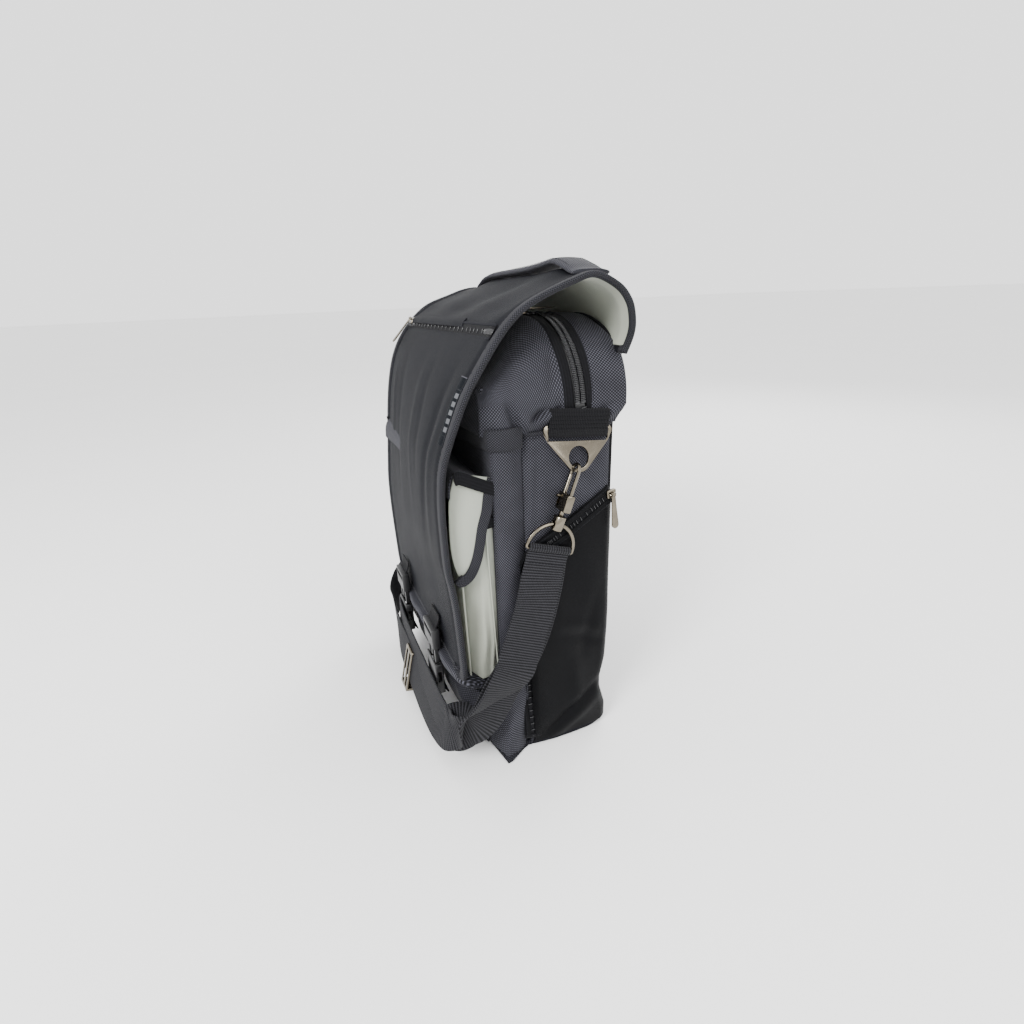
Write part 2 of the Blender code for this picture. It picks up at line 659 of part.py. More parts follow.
def strap_route():
    """Middle points of the strap and the direction of its width, near D-ring to far D-ring."""
    start = hook_point(1, fold_drop() + STRAP_FOLD - 0.0007)
    end = hook_point(-1, fold_drop() + STRAP_FOLD - 0.0007)
    return [(start, (0, 0.935, -0.354)),
            ((0.1325, -0.0030, 0.1810), (0, 0.947, -0.32)),
            ((0.1340, -0.0092, 0.1565), (0, 0.920, -0.39)),
            ((0.1360, -0.0186, 0.1330), (0, 0.910, -0.42)),
            ((0.1385, -0.0265, 0.1130), (0, 0.920, -0.38)),
            ((0.1400, -0.0360, 0.0990), (-0.05, 0.87, -0.49)),
            ((0.1395, -0.0475, 0.0850), (-0.12, 0.72, -0.68)),
            ((0.1370, -0.0600, 0.0715), (-0.16, 0.50, -0.85)),
            ((0.1300, -0.0735, 0.0570), (-0.10, 0.15, -0.98)),
            ((0.1190, -0.0825, 0.0460), (-0.04, -0.18, -0.98)),
            ((0.1050, -0.0875, 0.0380), (0, -0.29, -0.955)),
            ((0.0840, -0.0900, 0.0325), (0, -0.33, -0.944)),
            ((0.0620, -0.0920, 0.0295), (0.05, -0.33, -0.944)),
            ((0.0400, -0.0922, 0.0298), (0.08, -0.24, -0.97)),
            ((0.0100, -0.0930, 0.0312), (0.08, -0.22, -0.975)),
            ((-0.0200, -0.0934, 0.0330), (0.08, -0.22, -0.975)),
            ((-0.0550, -0.0918, 0.0372), (0.14, -0.1, -0.98)),
            ((-0.0900, -0.0870, 0.0425), (0.2, 0, -1)),
            ((-0.1170, -0.0815, 0.0490), (0.25, 0.05, -0.95)),
            ((-0.1375, -0.0640, 0.0610), (0.15, 0.35, -0.90)),
            ((-0.1410, -0.0405, 0.0860), (0.05, 0.62, -0.75)),
            ((-0.1400, -0.0225, 0.1200), (0, 0.80, -0.58)),
            ((-0.1370, -0.0105, 0.1520), (0, 0.90, -0.42)),
            ((-0.1335, -0.0030, 0.1790), (0, 0.935, -0.354)),
            (end, (0, 0.935, -0.354))]


def strap_frames():
    """Smoothed points, width directions and travel directions of the strap."""
    route = strap_route()
    middles = smooth([p for p, w in route], 3)
    widths = smooth([w for p, w in route], 3)
    frames = []
    for k, middle in enumerate(middles):
        run = (middles[min(k + 1, len(middles) - 1)] - middles[max(k - 1, 0)]).normalized()
        width = widths[k] - run * widths[k].dot(run)
        frames.append((middle, width.normalized(), run))
    return frames


def shoulder_strap():
    sections = []
    frames = strap_frames()
    for middle, width, run in frames:
        across = width * (WEBBING / 2 - GAP)
        thick = run.cross(width).normalized() * (STRAP_THICKNESS / 2)
        sections.append([middle - across - thick, middle + across - thick,
                         middle + across + thick, middle - across + thick])
    strap = loft("shoulder_strap", sections, "webbing")
    for side, sign in SIDES:
        base = bpy.data.objects[f"hook_pivot_{side}"]
        bar_z = -fold_drop()
        reach = WEBBING / 2 - 0.0012
        sleeve = cylinder(f"strap_fold_{side}", (0, -reach, bar_z), (0, reach, bar_z), STRAP_FOLD,
                          None, base)
        bore = cylinder(f"strap_fold_bore_{side}", (0, -0.03, bar_z), (0, 0.03, bar_z),
                        RING_WIRE + 0.0004, None, base)
        join(strap, sleeve)
        cut(strap, bore)
    middle, width, run = min(frames, key=lambda place: abs(place[0].x - TRI_GLIDE_X))
    normal = width.cross(run).normalized()
    seat = pivot("tri_glide_place", middle)
    seat.rotation_euler = Matrix((width, run, normal)).transposed().to_euler()
    outer_w, outer_l, outer_t = TRI_GLIDE
    glide = box("tri_glide", (-outer_w / 2, -outer_l / 2, -outer_t / 2),
                (outer_w / 2, outer_l / 2, outer_t / 2), "nickel", seat, bevel=0.0008)
    clear_w, clear_t = WEBBING / 2 + 0.0007, STRAP_THICKNESS / 2 + 0.0011
    way = box("tri_glide_way", (-clear_w, -0.03, -clear_t), (clear_w, 0.03, clear_t), None, seat)
    cut(glide, way)
    for k, (low, high) in enumerate(((-0.0072, -0.0018), (0.0018, 0.0072))):
        window = box(f"tri_glide_window_{k}", (-clear_w, low, -0.01), (clear_w, high, 0.01), None,
                     seat)
        cut(glide, window)


def clasp(side, sign):
    """A side-release clasp: the socket on the bag and the plug that hangs from the flap above it."""
    x = sign * CLASP_X
    half, thick = CLASP_WIDTH / 2, CLASP_THICKNESS / 2
    low, high = SOCKET_Z
    socket = box(f"clasp_socket_{side}", (x - half, CLASP_Y - thick, low),
                 (x + half, CLASP_Y + thick, high), "black_plastic", bevel=0.0010)
    well = box(f"socket_well_{side}", (x - half + CLASP_WALL + 0.001, CLASP_Y - thick + CLASP_WALL,
                                       low + 0.0085),
               (x + half - CLASP_WALL - 0.001, CLASP_Y + thick - CLASP_WALL, high + 0.01), None)
    windows = box(f"socket_windows_{side}", (x - 0.03, CLASP_Y - 0.0018, low + 0.013),
                  (x + 0.03, CLASP_Y + 0.0018, low + 0.024), None)
    web_slot = box(f"socket_slot_{side}", (x - 0.0125, -0.2, low + 0.0030),
                   (x + 0.0125, 0.2, low + 0.0060), None)
    cut(socket, well, windows, web_slot)
    wall_y = ROLL_FRONT_Y - GAP
    shelf = low + 0.0040
    tongue = CLASP_Y - 0.0020
    web = [(wall_y, SOCKET_WEB_FOOT_Z), (wall_y, shelf + WEB_THICKNESS),
           (tongue, shelf + WEB_THICKNESS), (tongue, shelf), (wall_y - WEB_THICKNESS, shelf),
           (wall_y - WEB_THICKNESS, SOCKET_WEB_FOOT_Z)]
    prism(f"socket_web_{side}", [web], x - 0.0120, x + 0.0120, "x", "webbing")

    tip = high + 0.0006
    block_low = high + 0.0165
    plug = box(f"clasp_plug_{side}", (x - half, CLASP_Y - thick, block_low),
               (x + half, CLASP_Y + thick, PLUG_TOP_Z), "black_plastic", bevel=0.0010)
    arm = half - CLASP_WALL - 0.0014
    reach = thick - CLASP_WALL - 0.0004
    for k, turn in enumerate((-1, 1)):
        xs = sorted((x + turn * arm, x + turn * (arm - 0.0042)))
        join(plug, box(f"plug_arm_{side}_{k}", (xs[0], CLASP_Y - reach, tip),
                       (xs[1], CLASP_Y + reach, block_low + 0.002), None))
    join(plug, box(f"plug_guide_{side}", (x - 0.0022, CLASP_Y - reach, tip + 0.003),
                   (x + 0.0022, CLASP_Y + reach, block_low + 0.002), None))
    slot = box(f"plug_slot_{side}", (x - 0.0128, -0.2, PLUG_TOP_Z - 0.0085),
               (x + 0.0128, 0.2, PLUG_TOP_Z - 0.0030), None)
    cut(plug, slot)


def plug_webbing(side, sign):
    """The short webbing sewn to the flap's outer face that the plug hangs from."""
    x = sign * CLASP_X
    top, run = at_height(flap_profile(), PLUG_WEB_TOP_Z)
    back = top.x - 0.0004
    front = back - WEB_THICKNESS
    low, high = PLUG_TOP_Z - 0.0065, PLUG_TOP_Z - 0.0065 + WEB_THICKNESS
    tongue = CLASP_Y - 0.0020
    outline = [(back, PLUG_WEB_TOP_Z), (back, low), (tongue, low), (tongue, high), (front, high),
               (front, PLUG_WEB_TOP_Z)]
    prism(f"plug_web_{side}", [outline], x - 0.0120, x + 0.0120, "x", "webbing")


def zip_sliders():
    main = pivot("main_zip_place", (0, ZIP_Y, BACK_HEIGHT - 0.0001))
    slider("main", Vector((0.030, 0, 0)), main, (0, 0, math.pi))
    for side, sign in SIDES:
        seat = (sign * (HALF + GAP + SKIN + GAP), SIDE_ZIP_TOP[0] - 0.0015, SIDE_ZIP_TOP[1] - 0.0005)
        face = pivot(f"side_zip_face_{side}", seat)
        out = Vector((sign, 0, 0))
        hang = Vector((0, 0.10, -1)).normalized()
        bar = (-hang).cross(out)
        face.rotation_euler = Matrix((bar, -hang, out)).transposed().to_euler()
        slider(f"side_{side}", Vector((0, 0, 0)), face, (0, 0, 0))


clear_scene()
PARTS = collection("flight_bag")
CUTTERS = collection("cutters")
main_compartment()
upper_compartment()
front_pockets()
side_pockets()
flap()
zip_sliders()
for side_name, side_sign in SIDES:
    ring_plate(side_name, side_sign)
    hook(side_name, side_sign)
    clasp(side_name, side_sign)
    plug_webbing(side_name, side_sign)
shoulder_strap()
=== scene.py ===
"""The looks of the flight bag, built round its fixed frame.

Metres, +Z up. +X is the near side, -Y the front, +Y the back panel, and the floor is z = 0.
Lines of points are written in millimetres and scaled by MM.
"""
import math

import bmesh
import bpy
import numpy as np
from mathutils import Matrix, Vector


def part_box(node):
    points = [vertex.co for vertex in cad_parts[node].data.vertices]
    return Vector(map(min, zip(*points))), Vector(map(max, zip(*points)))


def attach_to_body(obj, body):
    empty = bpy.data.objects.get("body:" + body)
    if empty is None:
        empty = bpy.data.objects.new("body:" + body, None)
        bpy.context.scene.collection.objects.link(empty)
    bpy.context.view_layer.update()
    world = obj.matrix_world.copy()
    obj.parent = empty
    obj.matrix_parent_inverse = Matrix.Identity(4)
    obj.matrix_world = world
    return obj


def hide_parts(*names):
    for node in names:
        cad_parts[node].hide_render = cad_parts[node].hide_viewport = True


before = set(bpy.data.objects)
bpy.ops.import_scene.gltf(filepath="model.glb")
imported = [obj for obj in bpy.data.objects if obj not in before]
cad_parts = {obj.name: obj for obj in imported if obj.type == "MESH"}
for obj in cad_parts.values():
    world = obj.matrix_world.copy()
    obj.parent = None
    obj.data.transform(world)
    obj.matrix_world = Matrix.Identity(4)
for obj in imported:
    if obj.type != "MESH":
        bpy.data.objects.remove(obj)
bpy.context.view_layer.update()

MM = 0.001
SIDES = (("near", 1.0), ("far", -1.0))


# ---------------------------------------------------------------- camera, floor and lights

CAMERA_PLACE = (0.475, -0.1675, 0.386)
CAMERA_TURNS = (67.516, 21.617, -2.439)
CAMERA_LENS = 18.98
FLOOR_REACH = 40
SKY_STRENGTH = 2.0
LIGHTS = (("key", (0.9, -1.3, 1.3), 0.7, 46), ("side", (1.6, 0.5, 0.9), 0.9, 12),
          ("rear", (-0.9, 1.3, 1.2), 0.9, 16))
LIGHT_AIM = (0, 0, 0.2)


def add_camera():
    """A level heading, tipped down and rolled a little about the line of sight."""
    heading, tip, roll = (math.radians(turn) for turn in CAMERA_TURNS)
    ahead = Vector((-math.sin(heading), math.cos(heading), 0))
    right = Vector((math.cos(heading), math.sin(heading), 0))
    up = Vector((0, 0, 1))
    sight = ahead * math.cos(tip) - up * math.sin(tip)
    down = -up * math.cos(tip) - ahead * math.sin(tip)
    rolled_right = right * math.cos(roll) - down * math.sin(roll)
    rolled_down = right * math.sin(roll) + down * math.cos(roll)
    turn = Matrix((rolled_right, -rolled_down, -sight)).transposed().to_4x4()
    data = bpy.data.cameras.new("camera")
    data.sensor_width = 36.0
    data.lens = CAMERA_LENS
    data.clip_start = 0.01
    camera = bpy.data.objects.new("camera", data)
    bpy.context.scene.collection.objects.link(camera)
    camera.matrix_world = Matrix.Translation(CAMERA_PLACE) @ turn
    bpy.context.scene.camera = camera


def add_light(name, place, size, power):
    """A round area light that looks at the middle of the bag."""
    data = bpy.data.lights.new(name, "AREA")
    data.shape = "DISK"
    data.size = size
    data.energy = power
    lamp = bpy.data.objects.new(name, data)
    bpy.context.scene.collection.objects.link(lamp)
    lamp.location = place
    lamp.rotation_euler = (Vector(LIGHT_AIM) - Vector(place)).to_track_quat("-Z", "Y").to_euler()


add_camera()


# ---------------------------------------------------------------- lines and surfaces

def resample(line, count):
    """The same line with its points at equal steps of length."""
    steps = np.linalg.norm(np.diff(line, axis=0), axis=1)
    length = np.concatenate([[0], np.cumsum(steps)])
    wanted = np.linspace(0, length[-1], count)
    return np.stack([np.interp(wanted, length, column) for column in line.T], 1)


def spline(points, count):
    """A Catmull-Rom line through the points, then at equal steps of length."""
    points = np.asarray(points, float)
    ends = 2 * points[0] - points[1], 2 * points[-1] - points[-2]
    knots = np.vstack([ends[0], points, ends[1]])
    place = np.linspace(0, len(points) - 1, 24 * (len(points) - 1) + 1)
    span = np.minimum(place.astype(int), len(points) - 2)
    t = (place - span)[:, None]
    a, b, c, d = (knots[span + k] for k in range(4))
    fine = 0.5 * (2 * b + (c - a) * t + (2 * a - 5 * b + 4 * c - d) * t ** 2
                  + (3 * b - a - 3 * c + d) * t ** 3)
    return resample(fine, count)


def unit(vectors):
    """The same directions with a length of one."""
    return vectors / np.maximum(np.linalg.norm(vectors, axis=-1, keepdims=True), 1e-12)


def bump_at(distance, width):
    """A smooth hill: 1 at no distance, falling as a Gaussian of the width."""
    return np.exp(-(distance / width) ** 2)


def ease(value, low, high):
    """0 below low, 1 above high, and a smooth cubic between."""
    t = np.clip((value - low) / (high - low), 0, 1)
    return t * t * (3 - 2 * t)


def crease(u, v, start, end, width):
    """A long hill along the segment from start to end: a Gaussian of the distance to it,
    fading to nothing at both of its ends."""
    start, end = np.array(start, float), np.array(end, float)
    run = end - start
    share = ((u - start[0]) * run[0] + (v - start[1]) * run[1]) / (run @ run)
    held = np.clip(share, 0, 1)
    away = np.hypot(u - start[0] - held * run[0], v - start[1] - held * run[1])
    return bump_at(away, width) * np.sin(np.pi * np.clip(held, 0.02, 0.98)) ** 0.6


def creases(u, v, rows):
    """The sum of several creases, each a height, a start, an end and a width."""
    return sum(height * crease(u, v, start, end, width) for height, start, end, width in rows)


def spaced(count, rim):
    """Positions from 0 to 1 with three more at each end, for an edge rounded over rim."""
    turn = rim * (1 - np.cos(np.linspace(0, np.pi / 2, 4)))[:-1]
    return np.concatenate([turn, np.linspace(rim, 1 - rim, count), 1 - turn[::-1]])


def panel_grid(half, foot, height, counts, rims):
    """x from -half to half down the rows and z from foot upwards along the columns."""
    x = (spaced(counts[0], rims[0]) * 2 - 1)[:, None] * half
    z = (foot + spaced(counts[1], rims[1]) * height)[None, :]
    return np.broadcast_arrays(x, z)


def across_both(half):
    """A line of the near half, carried on to the far side by its mirror image."""
    return np.vstack([half, (half * (-1, 1))[::-1][1:]])


def travelled(face, axis):
    """Mean length travelled along one direction of a grid of points."""
    steps = np.linalg.norm(np.diff(face, axis=axis), axis=-1).mean(axis=1 - axis)
    return np.concatenate([[0], np.cumsum(steps)])


def link(name, verts, faces, finish, uv=None):
    """A smooth-shaded mesh object at the origin."""
    data = bpy.data.meshes.new(name)
    data.from_pydata(np.asarray(verts).reshape(-1, 3).tolist(), [], np.asarray(faces).tolist()
                     if isinstance(faces, np.ndarray) else faces)
    if uv is not None:
        layer = data.uv_layers.new(name="cloth")
        corner = np.zeros(len(data.loops), np.int32)
        data.loops.foreach_get("vertex_index", corner)
        layer.data.foreach_set("uv", np.asarray(uv, np.float32)[corner].ravel())
    data.polygons.foreach_set("use_smooth", np.ones(len(data.polygons), bool))
    data.materials.append(finish)
    data.update()
    made = bpy.data.objects.new(name, data)
    bpy.context.scene.collection.objects.link(made)
    return made


def slab(name, face, thick, finish, rim=None):
    """A panel of cloth: the grid `face` with a second face `thick` under it.

    At a distance g from the border, r is the height of a quarter circle of radius rim. The outer
    point goes down by half the thickness times 1 - r and the inner one by half of it times 1 + r,
    so both meet in a rounded border. The outside is where the first direction crosses the second.
    """
    rim = rim or thick / 2
    normal = unit(np.cross(np.gradient(face, axis=0), np.gradient(face, axis=1)))
    along, across = travelled(face, 0), travelled(face, 1)
    from_u = np.minimum(along, along[-1] - along)[:, None]
    from_v = np.minimum(across, across[-1] - across)[None, :]
    gap = np.clip(np.minimum(from_u, from_v) / rim, 0, 1)
    height = np.sqrt(1 - (1 - gap) ** 2)[..., None]
    top = face - normal * thick / 2 * (1 - height)
    low = face - normal * thick / 2 * (1 + height)
    rows, columns = face.shape[:2]
    index = np.arange(rows * columns).reshape(rows, columns)
    under = index.copy()
    under[1:-1, 1:-1] = rows * columns + np.arange((rows - 2) * (columns - 2)).reshape(
        rows - 2, columns - 2)
    quads = [np.stack([g[:-1, :-1], g[1:, :-1], g[1:, 1:], g[:-1, 1:]], -1).reshape(-1, 4)
             for g in (index, under)]
    verts = np.vstack([top.reshape(-1, 3), low[1:-1, 1:-1].reshape(-1, 3)])
    flat = np.stack(np.broadcast_arrays(along[:, None], across[None, :]), -1)
    uv = np.vstack([flat.reshape(-1, 2), flat[1:-1, 1:-1].reshape(-1, 2)])
    return link(name, verts, np.vstack([quads[0], quads[1][:, ::-1]]), finish, uv)


def sweep(name, path, side, profile, finish, closed=False):
    """A closed profile carried along a path.

    Each ring is path + side * p + up * q for the profile's points (p, q), where up is the
    path's direction crossed with side. An open path gets a cap of triangles at each end.
    """
    path, profile = np.asarray(path, float), np.asarray(profile, float)
    if closed:
        run = unit(np.roll(path, -1, 0) - np.roll(path, 1, 0))
    else:
        run = unit(np.gradient(path, axis=0))
    side = np.broadcast_to(np.asarray(side, float), path.shape)
    side = unit(side - run * (side * run).sum(-1, keepdims=True))
    up = np.cross(run, side)
    if profile.ndim == 2:
        profile = np.broadcast_to(profile, (len(path), *profile.shape))
    rings = (path[:, None] + side[:, None] * profile[..., :1] + up[:, None] * profile[..., 1:])
    rows, count = rings.shape[:2]
    length = np.concatenate([[0], np.cumsum(np.linalg.norm(np.diff(path, axis=0), axis=1))])
    loop = profile[0]
    round_it = np.concatenate([[0], np.cumsum(np.linalg.norm(np.diff(loop, axis=0), axis=1))])
    index = np.arange(rows * count).reshape(rows, count)
    after = np.roll(index, -1, 1)
    if closed:
        first, second = index, np.roll(index, -1, 0)
        first_next, second_next = after, np.roll(after, -1, 0)
    else:
        first, second, first_next, second_next = index[:-1], index[1:], after[:-1], after[1:]
    faces = np.stack([first, first_next, second_next, second], -1).reshape(-1, 4).tolist()
    verts = rings.reshape(-1, 3)
    uv = np.stack(np.broadcast_arrays(length[:, None], round_it[None, :]), -1).reshape(-1, 2)
    if not closed:
        low, high = rows * count, rows * count + 1
        verts = np.vstack([verts, path[:1], path[-1:]])
        uv = np.vstack([uv, [[length[0], 0]], [[length[-1], 0]]])
        faces += [[low, after[0, k], index[0, k]] for k in range(count)]
        faces += [[high, index[-1, k], after[-1, k]] for k in range(count)]
    return link(name, verts, faces, finish, uv)


def oval(half_wide, half_thick, count=20, power=2.6):
    """A rounded profile: a superellipse of the power, wide along p and thick along q."""
    angle = np.linspace(0, 2 * np.pi, count, endpoint=False)
    c, s = np.cos(angle), np.sin(angle)
    return np.stack([half_wide * np.sign(c) * np.abs(c) ** (2 / power),
                     half_thick * np.sign(s) * np.abs(s) ** (2 / power)], 1)


def flat_band(width, thick, count=17):
    """A webbing's profile: two level faces and half round edges."""
    half = width / 2 - thick / 2
    across = np.linspace(-half, half, count)
    turn = np.linspace(-np.pi / 2, np.pi / 2, 5)[1:-1]
    right = np.stack([half + thick / 2 * np.cos(turn), thick / 2 * np.sin(turn)], 1)
    top = np.stack([across[::-1], np.full(count, thick / 2)], 1)
    low = np.stack([across, np.full(count, -thick / 2)], 1)
    return np.vstack([low, right, top, -right])


def repeated(name, shape, places, frames, finish):
    """Many copies of one small shape: each vertex is turned by its copy's frame and moved."""
    verts, faces = shape
    verts = np.asarray(verts, float)
    moved = np.einsum("nij,vj->nvi", frames, verts) + places[:, None]
    faces = np.asarray(faces)
    index = faces[None] + (np.arange(len(places)) * len(verts))[:, None, None]
    return link(name, moved, index.reshape(-1, faces.shape[1]), finish)


def bead(long, wide, high, rings=4, around=8):
    """A small closed capsule: circles scaled by the height of a half circle, capped by quads
    that close on themselves."""
    angle = np.linspace(0, 2 * np.pi, around, endpoint=False)
    at = np.cos(np.linspace(0.12, 1, rings) * np.pi / 2)
    at = np.concatenate([-at, at[::-1][1:]])
    radius = np.sqrt(np.clip(1 - at ** 2, 0, 1)) ** 0.7
    verts = np.stack([np.repeat(at * long / 2, around),
                      np.outer(radius, np.cos(angle)).ravel() * wide / 2,
                      np.outer(radius, np.sin(angle)).ravel() * high / 2], 1)
    index = np.arange(len(verts)).reshape(-1, around)
    after = np.roll(index, -1, 1)
    faces = np.stack([index[:-1], after[:-1], after[1:], index[1:]], -1).reshape(-1, 4)
    caps = []
    for ring, turned in ((index[0], True), (index[-1], False)):
        for k in range(around // 2 - 1):
            quad = [ring[k], ring[k + 1], ring[around - 2 - k], ring[around - 1 - k]]
            caps.append(quad[::-1] if turned else quad)
    return verts, np.vstack([faces, caps])


def stitches(name, path, outward, finish, pitch=2.7 * MM, length=2.1 * MM, size=0.55 * MM,
             sink=0.05 * MM):
    """A row of thread beads along a path, each lying along it, half sunk in the cloth."""
    path = np.asarray(path, float)
    total = np.linalg.norm(np.diff(path, axis=0), axis=1).sum()
    count = max(int(total / pitch), 2)
    line = resample(np.hstack([path, np.broadcast_to(outward, path.shape)]), count)
    at, out = line[:, :3], unit(line[:, 3:])
    run = unit(np.gradient(at, axis=0))
    out = unit(out - run * (out * run).sum(-1, keepdims=True))
    frames = np.stack([run, np.cross(out, run), out], -1)
    return repeated(name, bead(length, size, size, 3, 6), at - out * sink, frames, finish)


def teeth(name, path, across, out, pitch, size, rise, finish):
    """A closed coil's teeth: beads that lie across a path and stand a rise above it."""
    count = int(np.linalg.norm(np.diff(path, axis=0), axis=1).sum() / pitch)
    tooth = resample(np.hstack([path, across, out]), count)
    cross, lift = unit(tooth[:, 3:6]), unit(tooth[:, 6:])
    frames = np.stack([cross, np.cross(lift, cross), lift], -1)
    return repeated(name, bead(*size, 3, 8), tooth[:, :3] + lift * rise, frames, finish)


# ---------------------------------------------------------------- finishes

class Value:
    """A shader socket whose Python operators add Math nodes."""

    def __init__(self, paint, socket):
        self.paint, self.socket = paint, socket

    def math(self, operation, *others):
        return self.paint.node("ShaderNodeMath", {"operation": operation}, [self, *others])

    def __add__(self, other):
        return self.math("ADD", other)

    def __sub__(self, other):
        return self.math("SUBTRACT", other)

    def __mul__(self, other):
        return self.math("MULTIPLY", other)

    def __rsub__(self, other):
        return self.paint.node("ShaderNodeMath", {"operation": "SUBTRACT"}, [other, self])

    __radd__, __rmul__ = __add__, __mul__

    def wave(self):
        return self.math("SINE")

    def clipped(self):
        return self.paint.node("ShaderNodeMath", {"operation": "ADD", "use_clamp": True},
                               [self, 0.0])


class Paint:
    """One material and the nodes that lead to its shader."""

    def __init__(self, name, **constants):
        self.material = bpy.data.materials.new(name)
        self.material.use_nodes = True
        self.tree = self.material.node_tree
        self.shader = self.tree.nodes["Principled BSDF"]
        for key, value in constants.items():
            socket = key.replace("_", " ").title().replace("Ior", "IOR")
            self.shader.inputs[socket].default_value = value

    def node(self, kind, settings, inputs, output=0):
        """A node of a kind, with its settings first and then its sockets' values or links."""
        made = self.tree.nodes.new(kind)
        for key, value in settings.items():
            setattr(made, key, value)
        pairs = inputs.items() if isinstance(inputs, dict) else enumerate(inputs)
        for key, value in pairs:
            if isinstance(value, Value):
                self.tree.links.new(value.socket, made.inputs[key])
            elif value is not None:
                made.inputs[key].default_value = value
        return Value(self, made.outputs[output])

    def feed(self, socket, value):
        """Links a varying value to one of the shader's sockets."""
        self.tree.links.new(value.socket, self.shader.inputs[socket])

    def flat(self):
        """The two coordinates of the piece's own cloth map, in metres."""
        spot = self.node("ShaderNodeUVMap", {"uv_map": "cloth"}, [])
        split = self.node("ShaderNodeSeparateXYZ", {}, [spot])
        made = split.socket.node
        return Value(self, made.outputs[0]), Value(self, made.outputs[1])

    def solid(self):
        """The piece's Object coordinates, in metres."""
        return self.node("ShaderNodeTexCoord", {}, [], "Object")

    def noise(self, scale, detail=3.0, rough=0.55, vector=None):
        """Cloudy noise of a scale per metre."""
        return self.node("ShaderNodeTexNoise", {},
                         {"Vector": vector or self.solid(), "Scale": scale, "Detail": detail,
                          "Roughness": rough})

    def between(self, share, low, high):
        """A number from low to high as share goes from 0 to 1."""
        return share * (high - low) + low

    def mix(self, share, first, second, blend="MIX"):
        """A colour between two colours."""
        return self.node("ShaderNodeMix", {"data_type": "RGBA", "blend_type": blend},
                         {0: share, 6: first, 7: second}, 2)

    def bump(self, height, distance, strength=1.0, below=None):
        """A relief of a height over a distance, on top of the one below it."""
        return self.node("ShaderNodeBump", {},
                         {"Strength": strength, "Distance": distance, "Height": height,
                          "Normal": below})


def rgb(red, green, blue):
    """A solid colour's four numbers."""
    return (red, green, blue, 1.0)


def woven(name, dark, light, pitch, relief, roughness=0.75, dots=1.0, sheen=0.03, grime=0.25):
    """A basket weave: the product of two sines of the cloth map is high where a thread comes
    up, so the lit threads make a diagonal lattice of dots."""
    p = Paint(name, roughness=roughness, sheen_weight=sheen, sheen_roughness=0.4,
              specular_ior_level=0.14)
    u, v = p.flat()
    turn = 2 * math.pi / pitch
    lattice = (u * turn).wave() * (v * turn).wave()
    raised = (lattice * 0.5 + 0.5).clipped()
    fine = ((u * turn * 4).wave() + (v * turn * 4).wave()) * 0.06
    patchy = p.noise(38.0, 4.0)
    worn = p.noise(9.0, 2.0)
    lit = (raised.math("POWER", 2.2) * dots * (patchy * 1.0 + 0.45)).clipped()
    base = p.mix(lit, rgb(*dark), rgb(*light))
    p.feed("Base Color", p.mix(worn * grime, base, rgb(*(c * 0.55 for c in dark))))
    p.feed("Roughness", p.between(patchy, roughness - 0.08, roughness + 0.10).clipped())
    cloth = p.bump(raised + fine, relief)
    p.feed("Normal", p.bump(p.noise(55.0, 3.0), 0.5 * MM, 0.5, cloth))
    return p.material


def twill(name, dark, light, pitch, relief, roughness, sheen):
    """Fine slanted ribs: a sine of the sum of both cloth coordinates, broken up by a slow noise."""
    p = Paint(name, roughness=roughness, sheen_weight=sheen, sheen_roughness=0.35,
              specular_ior_level=0.06)
    u, v = p.flat()
    turn = 2 * math.pi / pitch
    slant = ((u + v * 0.8) * turn).wave() * 0.5 + 0.5
    threads = ((v - u * 0.3) * turn * 2).wave() * 0.5 + 0.5
    cloudy = p.noise(14.0, 4.0)
    grain = p.noise(420.0, 2.0)
    share = (slant * 0.45 + threads * 0.2 + cloudy * 0.5 + grain * 0.25 - 0.2).clipped()
    p.feed("Base Color", p.mix(share, rgb(*dark), rgb(*light)))
    p.feed("Roughness", p.between(cloudy, roughness - 0.06, roughness + 0.08).clipped())
    p.feed("Normal", p.bump(p.noise(30.0, 3.0), 0.6 * MM, 0.6,
                            p.bump(slant + threads * 0.5, relief)))
    return p.material


def ribbed(name, dark, light, rib, cord, relief, roughness=0.8):
    """Webbing: ribs across its length that shift by half a rib from one cord to the next."""
    p = Paint(name, roughness=roughness, sheen_weight=0.03, sheen_roughness=0.5,
              specular_ior_level=0.08)
    u, v = p.flat()
    column = (v * (2 * math.pi / cord)).wave()
    ribs = (u * (2 * math.pi / rib) + column * 0.55).wave() * 0.5 + 0.5
    threads = (v * (2 * math.pi / cord)).wave() * 0.5 + 0.5
    fuzz = p.noise(260.0, 3.0)
    share = (ribs.math("POWER", 1.5) * 0.7 + threads * 0.25 + fuzz * 0.3 - 0.2).clipped()
    p.feed("Base Color", p.mix(share, rgb(*dark), rgb(*light)))
    p.feed("Roughness", p.between(fuzz, roughness - 0.1, roughness + 0.1).clipped())
    p.feed("Normal", p.bump(ribs + threads * 0.45 + fuzz * 0.2, relief))
    return p.material


def lining_cloth(name, shade, warm):
    """Coated lining: nearly smooth, with soft crumples and a faint plain weave. Its colour darkens
    with the same noise that raises the crumples: painted shade on the crumples.
    """
    p = Paint(name, roughness=0.62, sheen_weight=0.1, specular_ior_level=0.35)
    u, v = p.flat()
    turn = 2 * math.pi / (0.9 * MM)
    weave = (u * turn).wave() * (v * turn).wave()
    crumple = p.noise(26.0, 5.0, 0.6)
    stain = p.noise(7.0, 3.0)
    tone = p.mix(stain, rgb(*shade), rgb(*warm))
    # painted shade: the colour is darker where the crumple noise is high
    p.feed("Base Color", p.mix((crumple - 0.45) * 0.5 + weave * 0.04, tone,
                               rgb(*(c * 0.55 for c in shade))))
    p.feed("Roughness", p.between(crumple, 0.5, 0.75))
    p.feed("Normal", p.bump(crumple, 1.6 * MM, 0.5, p.bump(weave, 0.05 * MM)))
    return p.material


